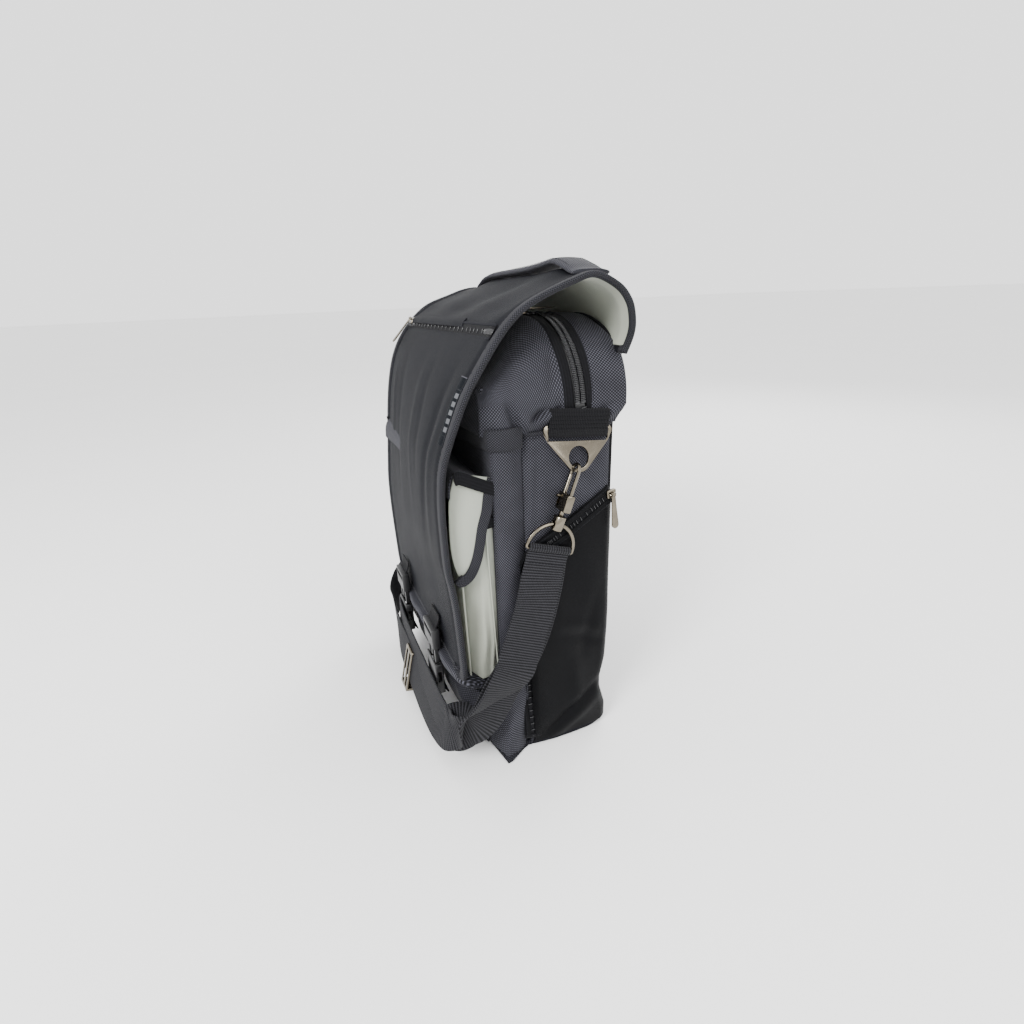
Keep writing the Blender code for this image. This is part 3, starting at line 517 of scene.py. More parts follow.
def nickel_plate(name, bright, dull):
    """Satin plate: metal with fine brushing, duller patches and a few dark specks."""
    p = Paint(name, metallic=1.0, roughness=0.3)
    at = p.solid()
    long = p.node("ShaderNodeMapping", {"vector_type": "POINT"},
                  {"Vector": at, "Scale": (900.0, 900.0, 60.0)})
    brushed = p.noise(1.0, 2.0, 0.5, long)
    patches = p.noise(120.0, 4.0, 0.6)
    specks = ((p.noise(620.0, 1.0) - 0.66) * 8.0).clipped()
    p.feed("Base Color", p.mix(patches, rgb(*bright), rgb(*dull)))
    p.feed("Roughness", (patches * 0.20 + specks * 0.3 + brushed * 0.10 + 0.08).clipped())
    p.feed("Normal", p.bump(brushed + patches * 0.6, 0.04 * MM, 0.6))
    return p.material


def moulded(name, shade, roughness=0.42, gloss=0.5):
    """Moulded plastic: a fine spark-eroded grain and soft scuffs."""
    p = Paint(name, roughness=roughness, specular_ior_level=gloss)
    grain = p.noise(1400.0, 2.0)
    scuff = p.noise(90.0, 5.0, 0.65)
    p.feed("Base Color", p.mix(scuff, rgb(*shade), rgb(*(c * 1.9 + 0.001 for c in shade))))
    p.feed("Roughness", p.between(scuff, roughness - 0.12, roughness + 0.16).clipped())
    p.feed("Normal", p.bump(grain, 0.05 * MM, 0.7))
    return p.material


def cellular(name, shade, scale):
    """Foam or fibreboard: small cells from a Voronoi distance."""
    p = Paint(name, roughness=0.9)
    cells = p.node("ShaderNodeTexVoronoi", {}, {"Vector": p.solid(), "Scale": scale})
    cloudy = p.noise(60.0, 4.0)
    p.feed("Base Color", p.mix((cells * 0.6 + cloudy * 0.4).clipped(), rgb(*shade),
                               rgb(*(c * 0.6 for c in shade))))
    p.feed("Roughness", p.between(cloudy, 0.8, 0.98))
    p.feed("Normal", p.bump(cells, 0.25 * MM, 0.6))
    return p.material


def label_cloth(name, ground, mark, length):
    """A woven label: satin rows, and a row of plain pale bars along its middle."""
    p = Paint(name, roughness=0.7, specular_ior_level=0.05)
    u, v = p.flat()
    rows = (v * (2 * math.pi / (0.5 * MM))).wave() * 0.5 + 0.5
    bars = ((u * (2 * math.pi / (6.2 * MM))).wave() * 4.0 + 1.6).clipped()
    middle = (1 - ((v - 5.5 * MM) * 420.0).math("ABSOLUTE")).math("MULTIPLY", 6.0).clipped()
    inside = ((u - 9 * MM) * 900.0).clipped() * ((length - 7 * MM - u) * 900.0).clipped()
    p.feed("Base Color", p.mix((bars * middle * inside).clipped(),
                               p.mix(rows * 0.6, rgb(*ground), rgb(*(c * 1.6 for c in ground))),
                               rgb(*mark)))
    p.feed("Roughness", p.between(rows, 0.5, 0.65))
    p.feed("Normal", p.bump(rows, 0.05 * MM))
    return p.material


def backdrop():
    """A pale floor with a very faint mottle."""
    p = Paint("pale_floor", roughness=0.85, specular_ior_level=0.1)
    soft = p.noise(2.0, 2.0)
    p.feed("Base Color", p.mix(soft, rgb(0.90, 0.90, 0.895), rgb(0.87, 0.87, 0.87)))
    return p.material


COARSE = woven("coarse_nylon", (0.0005, 0.0006, 0.0013), (0.092, 0.092, 0.114), 2.35 * MM,
               0.30 * MM)
# A dimmer copy of the coarse nylon: painted shade for the faces that sit in shadow, namely the
# base, the inside front wall and the lower front.
COARSE_PAINTED_SHADE = woven("coarse_nylon_painted_shade", (0.0008, 0.0009, 0.0018), (0.040, 0.040, 0.052),
                    2.35 * MM, 0.30 * MM)
TAPE = woven("binding_tape", (0.0006, 0.0007, 0.0012), (0.058, 0.058, 0.070), 1.9 * MM,
             0.28 * MM, 0.8)
TWILL = twill("flap_twill", (0.0014, 0.0016, 0.0025), (0.0112, 0.0116, 0.0148), 1.3 * MM,
              0.10 * MM, 0.62, 0.0)
SMOOTH = twill("pocket_nylon", (0.0006, 0.0006, 0.0009), (0.0030, 0.0031, 0.0038), 0.9 * MM,
               0.06 * MM, 0.48, 0.0)
GREY = lining_cloth("grey_lining", (0.24, 0.262, 0.228), (0.30, 0.305, 0.250))
WEBBING = ribbed("strap_webbing", (0.0006, 0.0006, 0.0009), (0.036, 0.036, 0.041), 2.2 * MM,
                 1.5 * MM, 0.35 * MM)
FINE_WEB = ribbed("fine_webbing", (0.0006, 0.0006, 0.0009), (0.011, 0.011, 0.013), 1.4 * MM,
                  1.1 * MM, 0.2 * MM)
GROSGRAIN = ribbed("grosgrain", (0.0006, 0.0006, 0.0009), (0.0085, 0.0085, 0.0105), 0.9 * MM,
                   2.4 * MM, 0.14 * MM)
NICKEL = nickel_plate("satin_nickel", (0.21, 0.186, 0.146), (0.095, 0.082, 0.062))
PLASTIC = moulded("moulded_black", (0.0030, 0.0030, 0.0036))
COIL = moulded("zip_coil", (0.0050, 0.0050, 0.0060), 0.24)
THREAD = moulded("black_thread", (0.0070, 0.0072, 0.0090), 0.7, 0.05)
PALE_THREAD = moulded("grey_thread", (0.045, 0.045, 0.052), 0.7, 0.05)
FOAM = cellular("foam", (0.10, 0.10, 0.11), 900.0)
BOARD = cellular("fibreboard", (0.30, 0.23, 0.15), 500.0)


OUTER_SKIN = 2.4 * MM
LINING_SKIN = 1.6 * MM


def attach(piece, body, slot, *nodes):
    """The piece rides on a body and stands for these CAD nodes; its slot is not used."""
    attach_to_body(piece, body)
    if nodes:
        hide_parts(*nodes)
    return piece


def mirrored(face):
    """The far side's copy of a near face, turned so that its outside stays outside."""
    return (face * np.array([-1.0, 1.0, 1.0]))[::-1]


def attach_sides(name, near, thick, finish, slot, *nodes):
    """A near panel and its mirror image, each standing for its own side's CAD nodes."""
    for side, sign in SIDES:
        face = near if sign > 0 else mirrored(near)
        attach(slab(f"{name}_{side}", face, thick, finish), "bag", slot,
               *(f"{node}_{side}" for node in nodes))


def raised(face, height):
    """A grid moved along its own outward direction."""
    normal = unit(np.cross(np.gradient(face, axis=0), np.gradient(face, axis=1)))
    return face + normal * height


def refined(node, body, finish, slot, bevel=0.35 * MM, segments=2, angle=28):
    """A CAD node's own shape with its edges rounded: its doubles merged, flat faces joined."""
    work = bmesh.new()
    work.from_mesh(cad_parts[node].data)
    bmesh.ops.remove_doubles(work, verts=work.verts[:], dist=0.00001)
    bmesh.ops.dissolve_limit(work, angle_limit=math.radians(0.5), verts=work.verts[:],
                             edges=work.edges[:])
    data = bpy.data.meshes.new(node + "_worn")
    work.to_mesh(data)
    work.free()
    data.polygons.foreach_set("use_smooth", np.ones(len(data.polygons), bool))
    data.materials.clear()
    data.materials.append(finish)
    made = bpy.data.objects.new(node + "_worn", data)
    bpy.context.scene.collection.objects.link(made)
    soft = made.modifiers.new("rounded", "BEVEL")
    soft.width = bevel
    soft.segments = segments
    soft.limit_method = "ANGLE"
    soft.angle_limit = math.radians(angle)
    soft.harden_normals = True
    return attach(made, body, slot, node)


# ---------------------------------------------------------------- main compartment

HALF_WIDTH = 122.0
YOKE_HALF = 113.5
ZIP_CENTRE = 34.5


def back_line(z):
    """How far back the body reaches at a height: upright below, leaning out to the flap's seam."""
    return np.interp(z, [0, 20, 45, 62, 75, 130, 210, 244, 292, 300, 318, 330, 345, 360, 372],
                     [67, 67, 59.5, 62.5, 65, 67.5, 68, 69, 69.5, 70, 73, 76, 79, 78.5, 74])


SIDE_CREASES = [(-2.6, (-2, 12), (62, 58), 4.5), (1.8, (4, 4), (58, 40), 6),
                (-1.6, (14, 118), (60, 96), 5), (1.3, (20, 128), (58, 110), 5),
                (-1.5, (2, 285), (-3, 205), 3.5), (1.2, (30, 90), (34, 30), 7),
                (-1.2, (36, 84), (52, 150), 6), (0.9, (24, 285), (34, 236), 6)]


def side_x(y, z):
    """Distance of the near side wall from the middle: the flat width, a pillow that is highest
    in its middle, a rounded back corner, and a few long hollows and ridges."""
    share = np.clip((y + 12) / 80, 0, 1)
    upright = 0.45 + 0.55 * np.sin(np.pi * np.clip(z / 300, 0, 1))
    pillow = 2.6 * np.sin(np.pi * share) ** 0.8 * upright
    corner = 6.0 * np.clip((y - (back_line(z) - 9)) / 9, 0, 1) ** 2.2
    valley = 4.5 * np.clip((-4.5 - y) / 7.5, 0, 1) ** 1.4 * ease(z, 20, 60)
    folds = creases(y, z, SIDE_CREASES)
    sag = 2.2 * np.exp(-((z - 34) / 26) ** 2) * np.sin(np.pi * share)
    return HALF_WIDTH + pillow - corner - valley + folds + sag


def add_sides():
    """The side walls: side_x over a grid that reaches back to the back line at each height."""
    y_share = spaced(42, 0.02)[:, None]
    z = (spaced(110, 0.008) * 289 + 3)[None, :]
    y = -11.5 + y_share * (back_line(z) + 11.0)
    near = np.stack(np.broadcast_arrays(side_x(y, z), y, z), -1) * MM
    attach_sides("side_wall", near, 2.6 * MM, COARSE, "coarse_nylon", "side_gusset")


BACK_TOP = 371.0
BACK_CORNER = 60.0
BACK_CREASES = [(-1.6, (-60, 40), (20, 90), 12), (1.4, (-30, 120), (60, 170), 16),
                (-1.2, (40, 200), (-50, 260), 14)]


def add_back():
    """The back panel: the back line with rounded upper corners, a crown and slow dents, and the
    piping that runs round its edge."""
    corner = BACK_CORNER
    x_share, up = np.broadcast_arrays(np.linspace(1, -1, 90)[:, None], spaced(90, 0.008)[None, :])
    width = HALF_WIDTH - 1.5
    reach = np.abs(x_share) * width
    rounding = corner - np.sqrt(np.clip(corner ** 2 - (reach - width + corner) ** 2, 0, None))
    top = BACK_TOP - np.where(reach > width - corner, rounding, 0)
    z = 3 + up * (top - 3)
    edge = np.clip((reach - width + 10) / 10, 0, 1)
    crown = 2.5 * (1 - x_share ** 2) * np.sin(np.pi * np.clip(z / 340, 0, 1))
    dents = creases(x_share * width, z, BACK_CREASES)
    y = back_line(z) - 0.5 + crown + dents - 4.5 * edge ** 2.2 - 1.5 * ease(z, 344, 352)
    face = np.stack([x_share * width, y, z], -1) * MM
    attach(slab("back_cloth", face, 2.8 * MM, COARSE), "bag", "coarse_nylon", "back_panel")
    rim = [(HALF_WIDTH - 2.6, z_at) for z_at in np.linspace(6, 312, 40)]
    arc = [((HALF_WIDTH - 2.6 - corner) + corner * math.cos(a), 311 + corner * math.sin(a))
           for a in np.linspace(0.05, math.pi / 2, 16)]
    line = across_both(np.array(rim + arc + [(0.0, BACK_TOP)]))
    points = np.stack([line[:, 0], back_line(line[:, 1]) - 3.2, line[:, 1]], 1) * MM
    points = resample(points, 260)
    outward = unit(np.stack([points[:, 0], 0 * points[:, 0] + 0.08, points[:, 2] - 0.2], 1))
    cord = sweep("back_piping", points, outward, oval(1.9 * MM, 1.9 * MM, 10, 2), GROSGRAIN)
    attach(cord, "bag", "coarse_nylon")


def add_base():
    """The bottom: a panel whose front corners are drawn out to a point on the floor."""
    outline = np.array([(0, 66.5), (112, 67), (119.5, 66.9), (125, 49.4), (125.5, 29.9), (125, 10),
                        (123, -6), (121.5, -16), (127, -25), (135.5, -39.5), (99, -45.5),
                        (50, -49), (0, -50)], float)
    half = resample(outline, 61)
    near, far = half, half * (-1, 1)
    share = np.linspace(0, 1, 41)[:, None, None]
    grid = far[None] * (1 - share) + near[None] * share
    z = 2.7 + 0 * grid[..., :1]
    face = np.concatenate([grid, z], -1) * MM
    # painted shade: the base takes the dimmer copy of the coarse nylon
    base = slab("base_cloth", face[:, ::-1], 2.6 * MM, COARSE_PAINTED_SHADE)
    attach(base, "bag", "coarse_nylon", "base_panel")


def wall(name, half, low, high, y, thick, finish, slot, node, bulge=1.0, ripple=0.6):
    """An upright panel across the bag that faces the front: a flat sheet with a slow bulge and
    ripples, closed by a rounded border."""
    x, z = panel_grid(half, low, high - low, (50, 50), (0.01, 0.01))
    lift = bulge * np.cos(x / half * 1.5) * np.sin(np.pi * (z - low) / (high - low))
    wave = ripple * np.sin(x / 17.0 + z / 60.0) * np.sin(np.pi * (z - low) / (high - low))
    face = np.stack([x, y - lift - wave, z], -1) * MM
    attach(slab(name, face, thick * MM, finish), "bag", slot, node)


def add_inside():
    """What lines the body: its front wall, the foam behind, the divider and the stiff bottom."""
    # painted shade: the inside front wall takes the dimmer copy of the coarse nylon
    wall("front_wall_cloth", 119, 3.4, 291, -10.6, 2.8, COARSE_PAINTED_SHADE, "coarse_nylon",
         "main_front_panel", 0.5, 0.4)
    x = (spaced(60, 0.01) * 2 - 1)[:, None] * 116.6
    inset = np.clip(np.abs(x) - 58.0, 0, None)
    top = 309.0 + np.sqrt(np.clip(58.7 ** 2 - inset ** 2, 0, None))
    z = 3.4 + spaced(60, 0.008)[None, :] * (top - 3.4)
    foam = np.stack([x + 0 * z, 58.4 + 0 * z, z], -1) * MM
    attach(slab("back_foam_sheet", foam, 5.6 * MM, FOAM), "bag", "foam", "back_foam")
    attach(divider_pad(), "bag", "grey_lining", "padded_divider")
    x = (spaced(40, 0.01) * 2 - 1)[:, None] * 116
    y = (-6 + spaced(20, 0.02) * 62.5)[None, :]
    x, y = np.broadcast_arrays(x, y)
    board = np.stack([x, y, 5.4 + 0 * x], -1) * MM
    attach(slab("base_stiffener", board, 2.1 * MM, BOARD, 0.4 * MM), "bag", "board", "base_board")


def divider_pad():
    """The divider: a thin pad, thickest in its middle and quilted in upright channels."""
    x, z = panel_grid(112, 6.2, 255, (60, 60), (0.01, 0.008))
    quilt = np.abs(np.sin(x / 112 * np.pi * 1.5)) ** 0.5 * 0.8
    face = np.stack([x, 43.8 - quilt, z], -1) * MM
    pad = slab("divider_pad", face, 3.6 * MM, GREY, 1.8 * MM)
    return pad


# ---------------------------------------------------------------- upper compartment

LEG_END, CORNER_END = 0.11, 0.275
UPPER_FOOT = 293
UPPER_GIRTH = 640
UPPER_CREASES = [(-4.0, (-14, 296), (-22, 372), 3.6), (2.4, (-7, 298), (-12, 350), 5.0),
                 (1.6, (-30, 296), (-30, 345), 5.0), (-3.6, (-4, 322), (6, 356), 3.8),
                 (2.2, (4, 318), (13, 352), 4.2), (-2.2, (17, 330), (19, 362), 3.0),
                 (-1.6, (14, 372), (20, 420), 4.0), (-1.5, (52, 300), (60, 360), 4.5),
                 (1.2, (60, 300), (64, 340), 4.0)]


def doorway(t, half, foot, top, radius):
    """A doorway line: up the near side, round a corner, along the roof and down the far side.
    Its parts keep the same shares of t for every size."""
    mirror = t > 0.5
    s = np.where(mirror, 1 - t, t)
    leg = s / LEG_END
    turn = np.clip((s - LEG_END) / (CORNER_END - LEG_END), 0, 1) * np.pi / 2
    roof = np.clip((s - CORNER_END) / (0.5 - CORNER_END), 0, 1)
    x = np.where(s < LEG_END, half, half - radius + radius * np.cos(turn))
    x = np.where(s > CORNER_END, (half - radius) * (1 - roof), x)
    spring = top - radius
    z = np.where(s < LEG_END, foot + leg * (spring - foot), spring + radius * np.sin(turn))
    return np.where(mirror, -x, x), z


def gusset_point(t, y):
    """The outside of the upper compartment: the doorway at that depth, pushed out by a pillow
    between its seams, and pulled in along creases that run down from the roof."""
    share = np.clip((y + 41) / 61, 0, 1)
    soft = ease(share, 0, 1)
    top = 331 + 40.5 * soft
    radius = 14 + 46 * soft
    x, z = doorway(t, HALF_WIDTH + 0 * y, UPPER_FOOT + 0 * y, top, radius)
    near = np.minimum(t, 1 - t)
    front = np.clip((y + 41) / 68, 0, 1)
    pillow = np.where(y < 29.5, 3.6 * np.sin(np.pi * front) ** 0.7,
                      2.2 * np.sin(np.pi * np.clip((y - 39.5) / 32, 0, 1)) ** 0.8)
    folds = creases(y, near * UPPER_GIRTH + UPPER_FOOT, UPPER_CREASES)
    brow = -9.5 * np.clip((-20 - y) / 21, 0, 1) ** 1.9
    push = pillow * ease(near, 0.0, 0.05) + brow + 1.5 * folds * (1 - ease(near, 0.2, 0.3))
    lean = unit(np.stack([x, 0 * x, np.maximum(z - 300, 0) * 1.6], -1))
    return np.stack([x, y + 0 * x, z], -1) + lean * push[..., None]


def zip_y(t):
    """How far back the main zip runs: two slow swings about its straight line."""
    near = np.minimum(t, 1 - t)
    return ZIP_CENTRE + 1.5 + 1.8 * bump_at(near - 0.06, 0.05) - 1.5 * ease(near, 0.10, 0.26)


def add_upper():
    """The upper compartment: a strip in front of the zip, one behind it, and the front yoke."""
    t = spaced(190, 0.004)[None, :]
    front_y = (spaced(46, 0.02)[:, None] * (zip_y(t) - 6.0 + 41) - 41)
    front = gusset_point(t + 0 * front_y, front_y) * MM
    attach(slab("top_front_cloth", front, OUTER_SKIN, COARSE), "bag", "coarse_nylon",
           "top_gusset_front")
    back_share = spaced(22, 0.04)[:, None]
    start = zip_y(t) + 6.0
    back_y = start + back_share * (68.5 - start)
    rise = np.minimum(t, 1 - t) * UPPER_GIRTH + UPPER_FOOT
    face = gusset_point(t + 0 * back_y, back_y)
    lean = (back_line(np.clip(rise, UPPER_FOOT, 350)) - 68.5) * back_share ** 2
    face[..., 1] += lean * (1 - ease(rise, 395, 450))
    attach(slab("top_back_cloth", face * MM, OUTER_SKIN, COARSE), "bag", "coarse_nylon",
           "top_gusset_back")
    x, yoke_z = panel_grid(YOKE_HALF, 292.6, 36, (60, 16), (0.006, 0.03))
    arch = np.sin(np.pi * (yoke_z - 292) / 38)
    puff = 3.0 * arch * (1 - (x / 121) ** 4) - 3.0 * (x / YOKE_HALF) ** 10
    ripples = 0.9 * np.sin(x / 9.0) * arch
    yoke = np.stack([x, -40.5 - puff - ripples, yoke_z], -1) * MM
    attach(slab("yoke_cloth", yoke, OUTER_SKIN, COARSE), "bag", "coarse_nylon", "front_yoke")


def zip_frames(t):
    """The main zip's line, with its run, across and outward directions."""
    step = 1e-3
    after, before = np.clip(t + step, 0, 1), np.clip(t - step, 0, 1)
    run = unit(gusset_point(after, zip_y(after)) - gusset_point(before, zip_y(before)))
    across = np.broadcast_to([0.0, 1.0, 0.0], run.shape)
    across = unit(across - run * (across * run).sum(-1, keepdims=True))
    return gusset_point(t, zip_y(t)) * MM, run, across, np.cross(across, run)


def add_main_zip():
    """The main zip: two tapes with their stitches, a bed between them, and two rows of teeth."""
    t = np.linspace(0.010, 0.990, 2000)
    line = resample(np.hstack(zip_frames(t)), 420)
    at, across, out = line[:, :3], unit(line[:, 6:9]), unit(line[:, 9:12])
    for name, turn in (("front", -1.0), ("back", 1.0)):
        middle = at + across * turn * 8.9 * MM + out * 0.8 * MM
        tape = sweep(f"main_zip_tape_{name}", middle, across,
                     flat_band(8.0 * MM, 1.4 * MM, 9), GROSGRAIN)
        attach(tape, "bag", "webbing")
        seam = middle + across * turn * 2.6 * MM + out * 0.8 * MM
        attach(stitches(f"main_zip_stitch_{name}", seam, out, THREAD), "bag", "webbing")
    bed = sweep("main_zip_bed", at + out * 0.1 * MM, across, flat_band(9.0 * MM, 1.2 * MM, 9),
                PLASTIC)
    attach(bed, "bag", "black_plastic")
    count = int(np.linalg.norm(np.diff(at, axis=0), axis=1).sum() / (1.75 * MM))
    tooth = resample(line, count)
    frames = np.stack([unit(tooth[:, 6:9]), unit(tooth[:, 3:6]), unit(tooth[:, 9:12])], -1)
    frames[..., 1] = np.cross(frames[..., 2], frames[..., 0])
    for name, turn in (("front", -1.0), ("back", 1.0)):
        seat = tooth[:, :3] + tooth[:, 6:9] * turn * 2.35 * MM + tooth[:, 9:12] * 2.0 * MM
        row = repeated(f"main_zip_teeth_{name}", bead(4.5 * MM, 1.45 * MM, 2.6 * MM, 3, 8), seat,
                       frames, COIL)
        attach(row, "bag", "black_plastic", *(["main_zip_chain"] if turn < 0 else []))


def add_seam():
    """The level seam between the lower and upper side walls, with its welt and stitches."""
    for side, sign in SIDES:
        y = np.linspace(-13, 68.5, 60)
        x = side_x(y, 291 + 0 * y) + 0.4
        points = np.stack([sign * x, y, 292.8 + 0 * y], 1) * MM
        welt = sweep(f"side_seam_{side}", points, (0, 0, 1), oval(1.5 * MM, 1.0 * MM, 10, 2), TAPE)
        attach(welt, "bag", "coarse_nylon")
        below = points + np.array([sign * 0.4, 0, -3.4]) * MM
        attach(stitches(f"side_seam_stitch_{side}", below, (sign, 0, 0), THREAD), "bag",
               "coarse_nylon")


# ---------------------------------------------------------------- organiser and front pockets

def strip_face():
    """The organiser's near side: at each height a curve through four points, which spread to a
    pointed corner where the cloth sags on the floor."""
    z = (2.0 + spaced(110, 0.008) * 286)
    down = 1 - ease(z, 2, 62)
    high = np.array([(120.0, -35.0), (124.5, -31.0), (125.5, -20.0), (119.5, -10.5)])
    low = np.array([(101.0, -45.5), (135.5, -40.0), (128.0, -25.5), (119.5, -15.5)])
    knots = high[None] * (1 - down[:, None, None]) + low[None] * down[:, None, None]
    t = spaced(30, 0.02)
    a, b, c, d = (knots[:, None, k] for k in range(4))
    s = t[None, :, None]
    curve = ((1 - s) ** 3 * a + 3 * (1 - s) ** 2 * s * b + 3 * (1 - s) * s ** 2 * c
             + s ** 3 * d)
    point = 0.35 * down[:, None, None] * bump_at(s - 0.38, 0.12) * (b - curve)
    curve = curve + point
    grid = np.concatenate([curve, np.broadcast_to(z[:, None, None], (*curve.shape[:2], 1))], -1)
    wave = 0.9 * np.sin(z / 19.0)[:, None] * np.sin(np.pi * t)[None, :]
    grid[..., 0] += wave
    return np.swapaxes(grid, 0, 1) * MM


def add_organiser():
    """The organiser: its two side strips, its front wall and the bound rim across its mouth."""
    attach_sides("organiser_strip", strip_face(), OUTER_SKIN, COARSE, "coarse_nylon",
                 "organiser_side")
    wall("organiser_front_cloth", 120, 3.4, 287, -35.4, 2.6, COARSE, "coarse_nylon",
         "organiser_wall", 0.6, 0.5)
    bend = np.array([(122.0, -12.5), (124.6, -18), (124.8, -28), (121.5, -34.0), (114, -36.4),
                     (60, -37.4), (0, -37.6)])
    line = across_both(spline(bend, 80))
    z = 289 + 2.5 * np.cos(np.linspace(0, 2 * np.pi, len(line)))
    points = np.stack([line[:, 0], line[:, 1], z], 1) * MM
    rim = sweep("organiser_binding", points, (0, 0, 1), oval(8.0 * MM, 2.0 * MM, 22, 4), TAPE)
    attach(rim, "bag", "webbing")


def grid_x(points_yz, x):
    """Points in a plane at one x, in metres."""
    points_yz = np.asarray(points_yz, float)
    return np.stack([np.full(len(points_yz), x), points_yz[:, 0], points_yz[:, 1]], 1) * MM


BELLOWS_CREASES = [(-1.8, (-58, 95), (-48, 190), 4), (1.2, (-46, 100), (-50, 160), 3)]


def add_bellows():
    """The bellows pocket: two puffed sides with a fold down each, its front and its bound rim."""
    z = (85.5 + spaced(60, 0.01) * 142)[None, :]
    y = (-62.5 + spaced(30, 0.02) * 29.0)[:, None]
    y, z = np.broadcast_arrays(y, z)
    belly = 3.2 * np.sin(np.pi * (y + 62.5) / 29) + 1.6 * bump_at(y + 40.2 + 0.03 * (z - 150), 1.6)
    dents = creases(y, z, BELLOWS_CREASES)
    hollow = -14.0 * np.clip((-47 - y) / 15.5, 0, 1) ** 1.4
    near = np.stack([113.5 + belly + dents + hollow, y - 4.0 * ease(z, 130, 85), z], -1) * MM
    attach_sides("bellows_side_cloth", near, LINING_SKIN, GREY, "grey_lining", "bellows_side")
    for side, sign in SIDES:
        fold = grid_x([(-40.2 - 0.03 * (zz - 150), zz) for zz in np.linspace(92, 222, 60)], 118.6)
        crest = sweep(f"bellows_fold_{side}", fold * (sign, 1, 1), (0, 1, 0),
                      oval(0.7 * MM, 0.7 * MM, 8, 2), GREY)
        attach(crest, "bag", "grey_lining")
    x, z = panel_grid(114.5, 85.0, 142, (60, 50), (0.006, 0.01))
    puff = 1.6 * np.sin(np.pi * (z - 85) / 143) * np.cos(x / 114.5 * 1.45)
    ripple = 0.8 * np.sin(x / 13.0 + z / 35.0)
    face = np.stack([x, -62.8 - puff - ripple * 0.5, z], -1) * MM
    attach(slab("bellows_front_cloth", face, LINING_SKIN, GREY), "bag", "grey_lining",
           "bellows_front")
    half = spline([(115.0, -33.0), (117.8, -42), (116.8, -52), (115.2, -60.5), (111, -63.6),
                   (60, -64.4), (0, -64.6)], 90)
    line = across_both(half)
    z = 224.5 + 3.0 * ease(np.abs(line[:, 0]), 100, 118)
    points = np.stack([line[:, 0], line[:, 1], z], 1) * MM
    rim = sweep("bellows_binding", points, (0, 0, 1), oval(4.6 * MM, 1.7 * MM, 18, 4), GROSGRAIN)
    attach(rim, "bag", "webbing")


def add_roll():
    """The rolled lower edge of the pocket: an oval carried across the bag, full at its ends."""
    x = np.linspace(121.5, -121.5, 120)
    share = np.abs(x) / 121.5
    path = np.stack([x, -60.0 + 0.6 * np.sin(x / 14), 83.5 + 0.5 * np.sin(x / 9 + 1)], 1) * MM
    size = np.sqrt(np.clip(1 - share ** 14, 0.02, 1)) * (1 + 0.03 * np.sin(x / 6))
    turn = math.radians(26)
    shape = oval(19.0 * MM, 7.6 * MM, 28, 2.4)
    spin = np.array([(math.cos(turn), math.sin(turn)), (-math.sin(turn), math.cos(turn))])
    profile = (shape @ spin)[None] * size[:, None, None]
    roll = sweep("pocket_roll", path, (0, 1, 0), profile, COARSE)
    attach(roll, "bag", "coarse_nylon", "bellows_roll")


def add_lower_front():
    """The lower front: padded cloth that bulges forward and draws in to the base's front edge."""
    x, z = panel_grid(121.5, 2.2, 72, (90, 40), (0.006, 0.02))
    line = np.interp(z, [0, 10, 30, 48, 62, 75], [-48, -52, -63, -68.5, -69.5, -62])
    end = ease(np.abs(x), 96, 122)
    pillow = 2.0 * np.abs(np.sin(x / 121.5 * np.pi * 1.5)) ** 0.7 - 1.0
    y = line - pillow * (1 - end) + end * (line + 47) * -0.55 * ease(z, 70, 10)
    y = y + 6.5 * end * ease(z, 30, 75) - 0.7 * np.sin(x / 8.0) * ease(z, 20, 50) * (1 - end)
    reach = x * (1 - 0.02 * end - 0.13 * end * ease(z, 48, 8))
    face = np.stack([reach, y, z], -1) * MM
    # painted shade: the lower front takes the dimmer copy of the coarse nylon
    piece = slab("lower_front_cloth", face, 3.0 * MM, COARSE_PAINTED_SHADE)
    attach(piece, "bag", "coarse_nylon", "lower_front_pad")


TONGUE = [(-32.0, 262.0), (-36.5, 250.0), (-39.5, 238.0), (-44.0, 226.0), (-47.0, 212.0),
          (-50.5, 199.0), (-56.0, 188.5), (-63.0, 184.0)]
EAR_ROOT = np.array([0.0, -33.0, 0.0]) * MM
FAR_EAR_SHARE = 0.78


